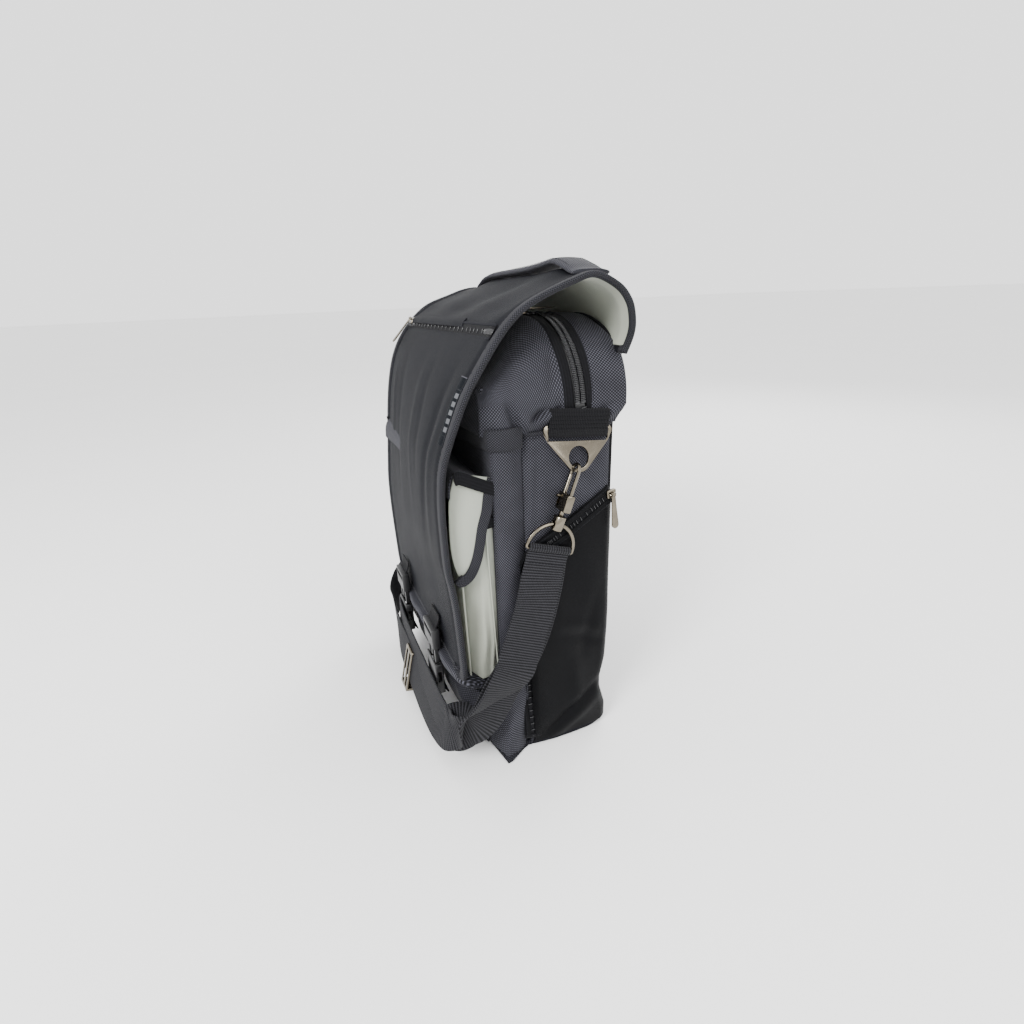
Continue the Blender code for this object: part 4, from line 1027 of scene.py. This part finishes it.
def add_cover():
    """The pocket's cover: a roof over the pocket, with a rounded ear hanging at each end."""
    edge = spline(TONGUE, 60)
    left = spline([(-62.0, 270.0), (-68.0, 250.0), (-70.5, 225.0), (-70.0, 205.0), (-67.0, 190.0),
                   (-63.5, 184.2)], 60)
    share = spaced(24, 0.03)[:, None, None]
    flat = left[None] * (1 - share) + edge[None] * share
    swell = 2.0 * np.sin(np.pi * share[..., 0]) * np.sin(np.pi * np.linspace(0, 1, 60))[None]
    lean = 3.5 * ease(flat[..., 1], 225, 265)
    x = 119.5 + swell - lean - 2.5 * np.clip((-50 - flat[..., 0]) / 18, 0, 1) ** 1.5
    near = np.stack([x, flat[..., 0], flat[..., 1]], -1)[:, ::-1] * MM
    band = spline([(p[0] - 1.6, p[1]) for p in TONGUE] + [(-67.5, 187.5)], 90)
    rim_near = np.stack([120.2 - 3.5 * ease(band[:, 1], 225, 265), band[:, 0], band[:, 1]], 1) * MM
    for side, sign in SIDES:
        hem, ear = rim_near * (sign, 1, 1), near if sign > 0 else mirrored(near)
        if sign < 0:
            hem, ear = ((p - EAR_ROOT) * (1, FAR_EAR_SHARE, 1) + EAR_ROOT for p in (hem, ear))
        attach(slab(f"cover_ear_{side}", ear, LINING_SKIN, GREY), "bag", "grey_lining")
        run = unit(np.gradient(hem, axis=0))
        inward = np.cross((sign, 0, 0), run)
        rim = sweep(f"cover_ear_binding_{side}", hem, inward,
                    oval(4.2 * MM, 1.7 * MM, 18, 4), TAPE)
        attach(rim, "bag", "webbing")
    roof = spline([(-33.8, 255.0), (-38, 257.5), (-47, 262.5), (-56, 267.0), (-62, 268.5),
                   (-66, 262), (-67.5, 250)], 40)
    x = (spaced(60, 0.006) * 2 - 1)[:, None] * 117.0
    y, z = roof[:, 0][None, :], roof[:, 1][None, :]
    x, y, z = np.broadcast_arrays(x, y, z)
    wave = 0.8 * np.sin(x / 15.0)
    face = np.stack([x, y, z + wave], -1)[:, ::-1] * MM
    attach(slab("cover_roof", face[::-1], LINING_SKIN, COARSE), "bag", "grey_lining",
           "pocket_cover")
    strip = spline([(-30.5, 252.5), (-40, 257.0), (-50, 262.0), (-60, 266.8), (-64, 266.5)], 60)
    for side, sign in SIDES:
        line = np.stack([118.8 + 0 * strip[:, 0], strip[:, 0], strip[:, 1]], 1) * (sign, 1, 1) * MM
        rim = sweep(f"cover_shoulder_{side}", line, (0, -0.45, 0.9),
                    oval(4.8 * MM, 1.8 * MM, 18, 4), GROSGRAIN)
        attach(rim, "bag", "webbing")


# ---------------------------------------------------------------- zipped side pockets

POCKET_ZIP = [(66.0, 236.0), (50.0, 227.5), (30.0, 216.3), (10.0, 205.5), (-3.5, 197.5),
              (-9.5, 188.0), (-11.3, 172.0), (-11.5, 140.0), (-11.5, 80.0), (-11.0, 14.6)]


def on_side(line, lift, sign):
    """Points of the side wall under a line in y and z, raised by lift."""
    y, z = line[:, 0], line[:, 1]
    return np.stack([sign * (side_x(y, z) + lift), y, z], 1) * MM


def add_side_pockets():
    """The side pockets: cloth from the zip's line down to the floor, and the zip with its tape,
    welts, stitches, teeth and the tack at its foot."""
    zip_line = spline(POCKET_ZIP, 240)
    y_run = np.gradient(zip_line, axis=0)
    inward = unit(np.stack([-y_run[:, 1], y_run[:, 0]], 1))
    toward = np.where((inward @ np.array([0.6, -1.0]) < 0)[:, None], -inward, inward)
    start = zip_line + toward * 3.0
    foot = np.stack([np.linspace(66.5, -11.0, 240), np.full(240, 6.0)], 1)
    share = spaced(70, 0.008)[:, None, None]
    flat = start[None] * (1 - share) + foot[None] * share
    y, z = flat[..., 0], flat[..., 1]
    y = np.minimum(y, back_line(z) - 1.2)
    loose = 1.2 * np.sin(np.pi * share[..., 0]) + 0.7 * np.sin(y / 6.5 + z / 23.0) * np.sin(
        np.pi * share[..., 0])
    near = np.stack([side_x(y, z) + 1.6 + loose, y, z], -1) * MM
    attach_sides("side_pocket_cloth", near, 1.4 * MM, SMOOTH, "pocket_nylon", "side_pocket")
    for side, sign in SIDES:
        middle = on_side(zip_line, 1.9, sign)
        run = unit(np.gradient(middle, axis=0))
        out = np.broadcast_to([sign, 0.0, 0.0], run.shape)
        across = unit(np.cross(out, run))
        lift = np.array([sign, 0, 0])
        tape = sweep(f"side_zip_tape_{side}", middle, across, flat_band(15 * MM, 1.2 * MM, 9),
                     GROSGRAIN)
        attach(tape, "bag", "webbing", f"side_zip_{side}")
        for k, gap in enumerate((-4.9, 4.9)):
            welt = sweep(f"side_zip_welt_{side}_{k}", middle + across * gap * MM + lift * 0.9 * MM,
                         across, oval(2.4 * MM, 0.9 * MM, 12, 2.4), SMOOTH)
            attach(welt, "bag", "pocket_nylon")
            seam = middle + across * gap * 1.22 * MM + lift * 1.75 * MM
            attach(stitches(f"side_zip_stitch_{side}_{k}", seam, lift, THREAD), "bag",
                   "pocket_nylon")
        row = teeth(f"side_zip_teeth_{side}", middle, across, out, 1.3 * MM,
                    (4.4 * MM, 1.0 * MM, 1.6 * MM), 1.3 * MM, COIL)
        attach(row, "bag", "black_plastic")
        tack = on_side(np.array([(-18.5, 15.5), (-11.0, 14.2), (-3.5, 13.6)]), 3.1, sign)
        bar = sweep(f"side_zip_tack_{side}", resample(tack, 12), (0, 0, 1),
                    oval(1.9 * MM, 0.8 * MM, 12, 3), GROSGRAIN)
        attach(bar, "bag", "webbing")


# ---------------------------------------------------------------- flap

NEAR_LINE = [(75.0, 344.0), (80.5, 356.0), (82.0, 366.0), (79.5, 379.0), (72.0, 389.5),
             (61.0, 396.5), (50.5, 400.5), (42.0, 400.5), (32.0, 397.5), (21.5, 394.0),
             (6.5, 388.0), (-7.5, 381.0), (-16.5, 374.0), (-24.5, 366.0), (-32.5, 356.0),
             (-40.5, 345.0), (-49.5, 332.0), (-56.5, 320.0), (-62.5, 307.0), (-68.5, 293.0),
             (-74.0, 278.0), (-76.5, 263.0), (-77.8, 245.0), (-78.0, 228.0), (-77.5, 199.0),
             (-75.0, 180.0), (-73.0, 159.0), (-72.0, 134.0), (-70.8, 91.0)]
FAR_LINE = [(73.5, 344.0), (78.5, 356.0), (79.5, 366.0), (77.0, 378.0), (69.5, 387.5),
            (58.0, 394.0), (47.0, 397.5), (33.0, 396.0), (18.0, 391.5), (-4.6, 384.0),
            (-18.0, 375.5), (-28.0, 366.0), (-38.0, 354.5), (-45.5, 342.0), (-51.5, 327.0),
            (-57.0, 305.0), (-61.0, 280.0), (-64.0, 255.0), (-67.5, 225.0), (-70.0, 200.0),
            (-70.8, 170.0), (-70.5, 140.0), (-70.0, 115.0), (-69.5, 91.0)]
SAMPLES = 400
near_line = spline(NEAR_LINE, SAMPLES)
far_line = spline(FAR_LINE, SAMPLES)
flap_length = np.linalg.norm(np.diff(near_line, axis=0), axis=1).sum()
FLAP_HALF = 125.0
FLAP_CORNER = 16.0


def line_at(line, t):
    """The y and z of an edge line at the share t of its length."""
    place = np.clip(t, 0, 1) * (SAMPLES - 1)
    index = np.arange(SAMPLES)
    return np.interp(place, index, line[:, 0]), np.interp(place, index, line[:, 1])


def share_at(line, y, z):
    """The share of an edge line's length at its sample that is nearest to a point."""
    return float(np.argmin(np.hypot(line[:, 0] - y, line[:, 1] - z))) / (SAMPLES - 1)


ZIP_NEAR = share_at(near_line, -26.0, 364.5)
ZIP_FAR = share_at(far_line, -29.5, 364.5)
FLAP_CREASES = [(-1.5, (84, 190), (66, 330), 5.5), (1.2, (97, 200), (84, 340), 6.5),
                (-1.2, (30, 185), (44, 290), 7.0), (1.1, (10, 190), (22, 320), 8.0),
                (-1.0, (-58, 190), (-40, 330), 8.0), (0.9, (-90, 200), (-70, 300), 7.0)]


def flap_point(w, t):
    """The flap's outside, in millimetres: w goes from its near edge to its far one and t from its
    seam over the top and down the front. The two edge lines are blended, and the sheet is pushed
    along its normal by a crown, slow upright folds, a rise under the handle and a step at the
    zip."""
    w, t = np.broadcast_arrays(np.asarray(w, float), np.asarray(t, float))
    near_y, near_z = line_at(near_line, t)
    far_y, far_z = line_at(far_line, t)
    blend = ease(w, -0.1, 1.1)
    y, z = near_y + (far_y - near_y) * blend, near_z + (far_z - near_z) * blend
    left = (1 - t) * flap_length
    curve = np.clip((FLAP_CORNER - left) / FLAP_CORNER, 0, 1)
    half = FLAP_HALF - FLAP_CORNER * (1 - np.sqrt(1 - curve ** 2))
    x = half * (1 - 2 * w)
    front = ease(t, ZIP_NEAR - 0.05, ZIP_NEAR + 0.15)
    top = ease(t, 0.12, 0.25) * (1 - ease(t, ZIP_NEAR - 0.06, ZIP_NEAR))
    middle = np.sin(np.pi * w)
    crown = 1.8 * middle * front * (1 - ease(t, 0.8, 1.0) * 0.5) - 1.4 * middle * top
    folds = front * (1 - ease(t, 0.6, 1.0) * 0.6) * (
        0.45 * np.sin(x / 9.7 + 1.2 + 3.1 * t) * bump_at(x - 78, 22)
        + 0.55 * np.sin(x / 15.3 + 0.6 - 4.0 * t) * bump_at(x - 14, 40)
        + 0.40 * np.sin(x / 11.9 + 5.0 * t) * bump_at(x + 76, 34)
        + creases(x, t * flap_length, FLAP_CREASES))
    drape = top * (1.6 * np.sin((x + 180 * t * 1.4) / 16.0) * bump_at(x - 40, 60)
                   + 1.2 * np.sin((x - 200 * t) / 21.0) * bump_at(x + 50, 60))
    zip_t = ZIP_NEAR + (ZIP_FAR - ZIP_NEAR) * w
    step = 2.0 * ease(t, zip_t - 0.055, zip_t - 0.012)
    step = step * (1 - ease(t, zip_t - 0.012, zip_t + 0.006))
    groove = -1.3 * bump_at((t - zip_t) * flap_length, 4.0)
    border = -1.1 * bump_at(np.minimum(w, 1 - w) * 250 - 12, 3.0)
    under = 5.4 * ease(x, -88, -62) * (1 - ease(x, 72, 104)) * bump_at(y - 52, 17)
    under = under * (1 - ease(t, 0.4, 0.5))
    push = crown + folds + drape + under + (step + groove) * ease(middle, 0.05, 0.35) + border
    y0, z0 = line_at(near_line, t - 0.004)
    y1, z1 = line_at(near_line, t + 0.004)
    length = np.maximum(np.hypot(y1 - y0, z1 - z0), 1e-9)
    out_y, out_z = (z1 - z0) / length, -(y1 - y0) / length
    return np.stack([x, y + out_y * push, z + out_z * push], -1)


def flap_frame(w, t):
    """A point on the flap with its directions across, down and outward."""
    step = 0.002
    at = flap_point(w, t)
    across = unit(flap_point(np.clip(w + step, 0, 1), t) - flap_point(np.clip(w - step, 0, 1), t))
    down = unit(flap_point(w, np.clip(t + step, 0, 1)) - flap_point(w, np.clip(t - step, 0, 1)))
    return at, across, down, unit(np.cross(across, down))


def add_flap():
    """The flap: its cloth, the lining 2.7 mm under it, and what is sewn to them."""
    w, t = spaced(110, 0.006)[:, None], spaced(220, 0.004)[None, :]
    face = flap_point(w, t) * MM
    attach(slab("flap_cloth", face, 2.2 * MM, TWILL), "flap", "flap_nylon", "flap_panel")
    w = (0.012 + spaced(90, 0.006) * 0.976)[:, None]
    t = (0.01 + spaced(170, 0.004) * 0.98)[None, :]
    inner = raised(flap_point(w, t) * MM, -2.7 * MM)
    attach(slab("flap_inner_cloth", inner, 1.2 * MM, GREY), "flap", "grey_lining", "flap_lining")
    add_flap_binding()
    add_flap_zip()
    add_label()


def add_flap_binding():
    """The bound edge: a folded tape carried down one side, along the bottom and up the other."""
    inset = 3.6
    t = np.linspace(0, 1, 300)
    edge = inset / (2 * FLAP_HALF)
    near = flap_point(edge + 0 * t, t * (1 - inset / flap_length))
    far = flap_point(1 - edge + 0 * t, t * (1 - inset / flap_length))
    w = np.linspace(edge, 1 - edge, 200)[1:-1]
    foot = flap_point(w, 1 - inset / flap_length + 0 * w)
    line = np.vstack([near, foot, far[::-1]])
    half_t = np.concatenate([t, np.ones(len(w)), t[::-1]])
    half_w = np.concatenate([edge + 0 * t, w, 1 - edge + 0 * t])
    out = flap_frame(half_w, half_t)[3]
    both = resample(np.hstack([line - out * 1.5, out]), 620)
    path, out = both[:, :3] * MM, unit(both[:, 3:])
    run = unit(np.gradient(path, axis=0))
    inward = np.cross(out, run)
    rim = sweep("flap_binding", path, inward, oval(4.6 * MM, 2.3 * MM, 22, 4), TAPE)
    attach(rim, "flap", "webbing")
    seam = path - inward * 3.3 * MM + out * 2.2 * MM
    attach(stitches("flap_binding_stitch", seam, out, THREAD), "flap", "webbing")


def add_flap_zip():
    """The pocket zip across the flap: tape with a lip along each edge, coil, and a welt over its
    far part.
    """
    w = np.linspace(0.052, 0.972, 260)
    t = ZIP_NEAR + (ZIP_FAR - ZIP_NEAR) * w
    at, _, down, out = flap_frame(w, t)
    path = (at + out * 0.6) * MM
    tape = sweep("flap_zip_tape", path, down, flat_band(11.0 * MM, 1.1 * MM, 9), FINE_WEB)
    attach(tape, "flap", "webbing", "flap_zip_chain")
    for k, gap in enumerate((-5.2, 5.0)):
        lip = sweep(f"flap_zip_lip_{k}", path + down * gap * MM + out * 0.5 * MM, down,
                    oval(1.0 * MM, 0.6 * MM, 10, 2), THREAD)
        attach(lip, "flap", "flap_nylon")
    row = teeth("flap_zip_teeth", path, down, out, 1.25 * MM, (4.2 * MM, 0.95 * MM, 1.3 * MM),
                0.75 * MM, COIL)
    attach(row, "flap", "black_plastic")
    far = w > 0.30
    lift = 1.0 + 1.4 * ease(w[far], 0.30, 0.42) - 0.9 * ease(w[far], 0.8, 0.97)
    share = spaced(12, 0.06)[None, :]
    start = (at - down * 9.5 + out * 0.2)[far][:, None]
    end = (at[far] - down[far] * 1.2 + out[far] * lift[:, None])[:, None]
    sheet = start * (1 - share[..., None]) + end * share[..., None]
    sheet = sheet + out[far][:, None] * (1.3 * np.sin(np.pi * share[..., None] * 0.9))
    attach(slab("flap_zip_welt", sheet * MM, 1.1 * MM, TWILL), "flap", "flap_nylon")


LABEL_FROM, LABEL_TO = 0.032, 0.078


def add_label():
    """A woven strip beside the near binding, with a pale thread at its top."""
    start, end = share_at(near_line, -47.0, 336.0), share_at(near_line, -69.5, 291.0)
    t = start + spaced(50, 0.01)[None, :] * (end - start)
    w = LABEL_FROM + spaced(14, 0.04)[:, None] * (LABEL_TO - LABEL_FROM)
    at, _, _, out = flap_frame(w, t)
    face = np.swapaxes((at + out * 0.9) * MM, 0, 1)[:, ::-1]
    length = (end - start) * flap_length * MM
    cloth = label_cloth("label_weave", (0.0022, 0.0030, 0.0046), (0.085, 0.088, 0.095), length)
    attach(slab("woven_label", face, 0.7 * MM, cloth), "flap", "webbing", "side_label")
    w = np.linspace(LABEL_FROM + 0.004, LABEL_TO, 12)
    at, _, down, out = flap_frame(w, start + 0 * w)
    bar = sweep("label_top_stitch", (at + out * 1.1) * MM, down[0], oval(0.4 * MM, 0.3 * MM, 8, 2),
                PALE_THREAD)
    attach(bar, "flap", "webbing")


def add_handle():
    """The grab handle: a flat padded roll that leaves the flap at both ends and arches between."""
    line = spline([(108, 400.8), (99, 402.4), (88, 406.2), (70, 410.6), (50, 409.6), (20, 408.0),
                   (-20, 407.2), (-55, 406.8), (-76, 404.8), (-87, 401.0), (-95, 397.4)], 120)
    share = np.linspace(0, 1, 120)
    path = np.stack([line[:, 0], 54.5 + 1.5 * np.sin(share * 3.0), line[:, 1]], 1) * MM
    full = 1 + 0.35 * np.sin(np.pi * share) ** 0.5
    wide = 1 - 0.08 * np.sin(np.pi * share)
    shape = oval(15.0 * MM, 2.5 * MM, 30, 2.4)
    profile = np.stack([shape[:, 0][None] * wide[:, None], shape[:, 1][None] * full[:, None]], -1)
    grip = sweep("grab_handle_cloth", path, (0, 1, 0), profile, COARSE)
    attach(grip, "flap", "coarse_nylon", "grab_handle")
    for k, gap in enumerate((-11.0, 11.0)):
        seam = path[6:-6] + np.array([0, gap, 0]) * MM
        seam = seam + np.array([0, 0, 1]) * (2.1 + 0.7 * np.sin(np.pi * share[6:-6]))[:, None] * MM
        attach(stitches(f"handle_stitch_{k}", seam, (0, 0, 1), THREAD), "flap", "coarse_nylon")


# ---------------------------------------------------------------- shoulder strap and hardware

# Both edges of the strap, one pair after another, from the near ring round the front to the far
# ring: its outer layer, and the layer doubled behind it as far as the slide adjuster.
STRAP = [
    ((131.4, -13.4, 204.5), (131.4, 21.5, 191.3)), ((132.6, -20.5, 184.0), (132.0, 15.4, 172.5)),
    ((134.0, -27.0, 160.5), (133.6, 8.6, 147.5)), ((136.5, -37.5, 140.0), (136.0, 0.4, 124.1)),
    ((139.0, -45.4, 121.0), (138.5, -8.6, 108.2)), ((141.0, -49.3, 111.9), (140.5, -16.3, 94.0)),
    ((143.5, -55.5, 101.4), (136.5, -27.0, 82.5)), ((144.5, -63.3, 89.6), (130.0, -38.4, 71.6)),
    ((142.5, -71.2, 77.6), (126.0, -51.5, 63.5)), ((138.0, -77.2, 69.0), (122.5, -63.0, 60.5)),
    ((133.0, -80.6, 54.0), (119.5, -71.5, 61.8)), ((126.5, -85.4, 37.5), (115.5, -78.5, 64.0)),
    ((118.0, -89.8, 27.5), (111.5, -82.0, 61.5)), ((106.0, -93.8, 21.0), (103.5, -82.6, 56.5)),
    ((90.0, -96.0, 18.8), (88.0, -83.4, 53.8)), ((74.0, -96.8, 17.8), (72.0, -84.6, 53.0)),
    ((52.0, -96.9, 16.8), (50.5, -86.0, 52.3)), ((30.0, -96.6, 17.2), (28.5, -87.4, 53.2)),
    ((7.0, -96.2, 19.0), (5.0, -88.8, 55.3)), ((-20.0, -95.6, 20.6), (-22.5, -88.8, 57.0)),
    ((-46.0, -93.5, 20.5), (-51.5, -89.0, 56.5)), ((-87.0, -87.0, 24.0), (-93.5, -87.0, 61.0)),
    ((-112.5, -80.5, 31.0), (-121.5, -82.5, 67.0)), ((-134.5, -57.5, 44.5), (-140.5, -70.5, 77.5)),
    ((-140.0, -29.0, 72.0), (-142.0, -52.0, 100.0)),
    ((-140.0, -7.5, 109.0), (-140.0, -37.5, 131.0)),
    ((-137.0, 6.5, 144.0), (-137.0, -27.5, 160.0)), ((-133.5, 14.5, 172.5), (-133.5, -20.5, 185.5)),
    ((-131.4, 21.5, 191.3), (-131.4, -13.4, 204.5))]
INNER = [
    ((130.0, -13.4, 204.5), (130.0, 21.5, 191.3)), ((130.2, -19.5, 170.0), (130.2, 15.5, 157.5)),
    ((130.8, -29.5, 136.0), (130.8, 4.0, 120.0)), ((131.4, -41.5, 113.0), (131.4, -10.5, 92.5)),
    ((132.5, -53.0, 97.0), (131.4, -29.0, 69.5)), ((133.5, -60.5, 84.5), (131.4, -40.5, 52.0)),
    ((134.0, -67.0, 75.5), (131.4, -49.0, 40.5)), ((133.5, -73.0, 68.5), (130.4, -60.0, 33.5)),
    ((130.0, -77.0, 65.5), (127.5, -73.0, 31.0)), ((121.0, -80.5, 62.0), (121.0, -85.0, 28.0)),
    ((107.0, -83.0, 61.0), (108.0, -90.0, 26.0)), ((88.0, -84.6, 62.5), (90.0, -92.0, 28.0)),
    ((50.5, -85.4, 66.0), (52.0, -91.5, 30.5)), ((3.0, -86.2, 70.0), (5.0, -91.0, 34.5)),
    ((-45.0, -85.8, 73.5), (-43.0, -89.0, 38.0)), ((-78.0, -82.5, 75.0), (-76.0, -85.0, 40.0))]


def strap_line(edges, count):
    """Points and width directions along a strap whose two edges are given: the middle of each
    pair, and the way from one edge to the other."""
    rows = np.array([(*p, *q) for p, q in edges], float)
    rows = np.hstack([(rows[:, :3] + rows[:, 3:]) / 2, unit(rows[:, 3:] - rows[:, :3])])
    line = resample(spline(rows, 1200), count)
    at, wide = line[:, :3], line[:, 3:]
    run = unit(np.gradient(at, axis=0))
    return at, unit(wide - run * (wide * run).sum(1, keepdims=True))


def add_strap():
    """The strap: two layers of webbing, and a sewn fold round the D-ring at each end."""
    at, wide = strap_line(STRAP, 760)
    band = sweep("strap_outer_layer", at * MM, wide, flat_band(37.4 * MM, 1.7 * MM, 25), WEBBING)
    attach(band, "bag", "webbing", "shoulder_strap")
    inner, inner_wide = strap_line(INNER, 420)
    back = sweep("strap_inner_layer", inner * MM, inner_wide, flat_band(37.0 * MM, 1.7 * MM, 25),
                 WEBBING)
    attach(back, "bag", "webbing")
    for side, rows in (("near", slice(0, 1)), ("far", slice(-1, None))):
        end, across = at[rows][0], wide[rows][0]
        outward = np.array([np.sign(end[0]), 0, 0])
        path = (end + across * np.linspace(-18.6, 18.6, 24)[:, None] + (0, 1.2, 3.4)) * MM
        fold = sweep(f"strap_fold_{side}", path, (1, 0, 0), oval(3.3 * MM, 3.3 * MM, 18, 2),
                     WEBBING)
        attach(fold, "bag", "webbing")
        tack_at = at[11 if side == "near" else -12]
        bar = (tack_at + across * np.linspace(-15, 15, 20)[:, None] + outward * 1.1) * MM
        attach(stitches(f"strap_tack_{side}", bar, outward, THREAD), "bag", "webbing")


TAB_HALF = 25.2


def add_tabs():
    """The folded webbing that holds each triangular ring: a closed loop of cloth carried across,
    its outer face rippled by four thick ribs."""
    tilt = math.radians(-6)
    across = np.array([0.0, math.cos(tilt), math.sin(tilt)])
    ribs = [4.3 + 0.95 * abs(math.sin((s - 2.0) / 2.9 * math.pi)) - 1.2 * ease(s, 13.5, 16.5)
            for s in np.linspace(1.0, 16.5, 52)]
    outer = list(zip(ribs, np.linspace(1.0, 16.5, 52)))
    inner = [(0.2, s) for s in np.linspace(16.0, 0.0, 12)]
    bend = [(2.4 - 2.6 * math.cos(a), -2.0 - 3.2 * math.sin(a))
            for a in np.linspace(0.2, 2.9, 16)]
    loop = np.array(outer + inner + bend)
    span = np.linspace(-TAB_HALF, TAB_HALF, 40)
    bow = 0.8 * (1 - (span / TAB_HALF) ** 2)
    for side, sign in SIDES:
        shape = np.stack([loop[:, 0] * sign, -loop[:, 1]], 1) * MM
        path = np.array([sign * 122.3, 34.0, 291.5]) + across * span[:, None]
        path = (path + np.array([sign, 0, 0]) * bow[:, None]) * MM
        tab = sweep(f"ring_tab_cloth_{side}", path, (1, 0, 0), shape[::-1] if sign > 0 else shape,
                    FINE_WEB)
        attach(tab, "bag", "webbing", f"ring_tab_{side}")


def add_metal():
    """Everything of metal or moulded plastic: each CAD node's own shape with worn edges."""
    for side, _ in SIDES:
        refined(f"ring_{side}", "bag", NICKEL, "nickel", 0.6 * MM, 3)
        refined(f"hook_{side}", f"hook_{side}", NICKEL, "nickel", 0.3 * MM, 2)
        refined(f"bolt_{side}", f"bolt_{side}", NICKEL, "nickel", 0.25 * MM, 2)
        refined(f"swivel_{side}", "bag", NICKEL, "nickel", 0.5 * MM, 2, 40)
        refined(f"d_ring_{side}", "bag", NICKEL, "nickel", 0.2 * MM, 2, 40)
        for kind in ("slider", "pull"):
            refined(f"side_{side}_{kind}", f"side_{kind}_{side}", NICKEL, "nickel", 0.3 * MM, 2)
        refined(f"clasp_socket_{side}", "bag", PLASTIC, "black_plastic", 0.5 * MM, 3)
        refined(f"clasp_plug_{side}", f"plug_{side}", PLASTIC, "black_plastic", 0.5 * MM, 3)
    for kind in ("main", "flap"):
        refined(f"{kind}_slider", f"{kind}_slider", NICKEL, "nickel", 0.3 * MM, 2)
        refined(f"{kind}_pull", f"{kind}_pull", NICKEL, "nickel", 0.3 * MM, 2)
    refined("tri_glide", "tri_glide", NICKEL, "nickel", 0.6 * MM, 3)


PLUG_STRAP = [(-0.0742, 0.128), (-0.0755, 0.122), (-0.0785, 0.1160), (-0.0812, 0.1105)]
SOCKET_STRAP = [(-0.0815, 0.0515), (-0.0790, 0.0495), (-0.0745, 0.0475), (-0.0722, 0.0440)]


def short_strap(name, node, points, count, body):
    """A short webbing 24 mm wide that stands for a CAD node, along a line in y and z."""
    low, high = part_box(node)
    line = spline(np.array(points), count)
    x = (spaced(14, 0.03) * 24 - 12)[:, None] * MM + (low.x + high.x) / 2
    x, y, z = np.broadcast_arrays(x, line[:, 0][None, :], line[:, 1][None, :])
    face = np.stack([x, y, z], -1)[::-1]
    attach(slab(name, face, 1.3 * MM, FINE_WEB), body, "webbing", node)


def add_clasp_webs():
    """The webbing that holds each half of the clasps."""
    for side, _ in SIDES:
        short_strap(f"plug_strap_{side}", f"plug_web_{side}", PLUG_STRAP, 30, f"plug_{side}")
        short_strap(f"socket_strap_{side}", f"socket_web_{side}", SOCKET_STRAP, 24, "bag")


# ---------------------------------------------------------------- the whole

def add_surroundings():
    """The floor, an even sky and three soft lights."""
    data = bpy.data.meshes.new("floor")
    corners = [(x * FLOOR_REACH, y * FLOOR_REACH, 0)
               for x, y in ((-1, -1), (1, -1), (1, 1), (-1, 1))]
    data.from_pydata(corners, [], [(0, 1, 2, 3)])
    data.materials.append(backdrop())
    floor = bpy.data.objects.new("floor", data)
    bpy.context.scene.collection.objects.link(floor)
    world = bpy.data.worlds.new("soft_daylight")
    bpy.context.scene.world = world
    world.use_nodes = True
    sky = world.node_tree.nodes["Background"]
    sky.inputs["Color"].default_value = (1.0, 1.0, 1.0, 1.0)
    sky.inputs["Strength"].default_value = SKY_STRENGTH
    for name, place, size, power in LIGHTS:
        add_light(name, place, size, power)


add_sides()
add_back()
add_base()
add_inside()
add_upper()
add_main_zip()
add_seam()
add_organiser()
add_bellows()
add_roll()
add_lower_front()
add_cover()
add_side_pockets()
add_flap()
add_handle()
add_strap()
add_tabs()
add_metal()
add_clasp_webs()
add_surroundings()
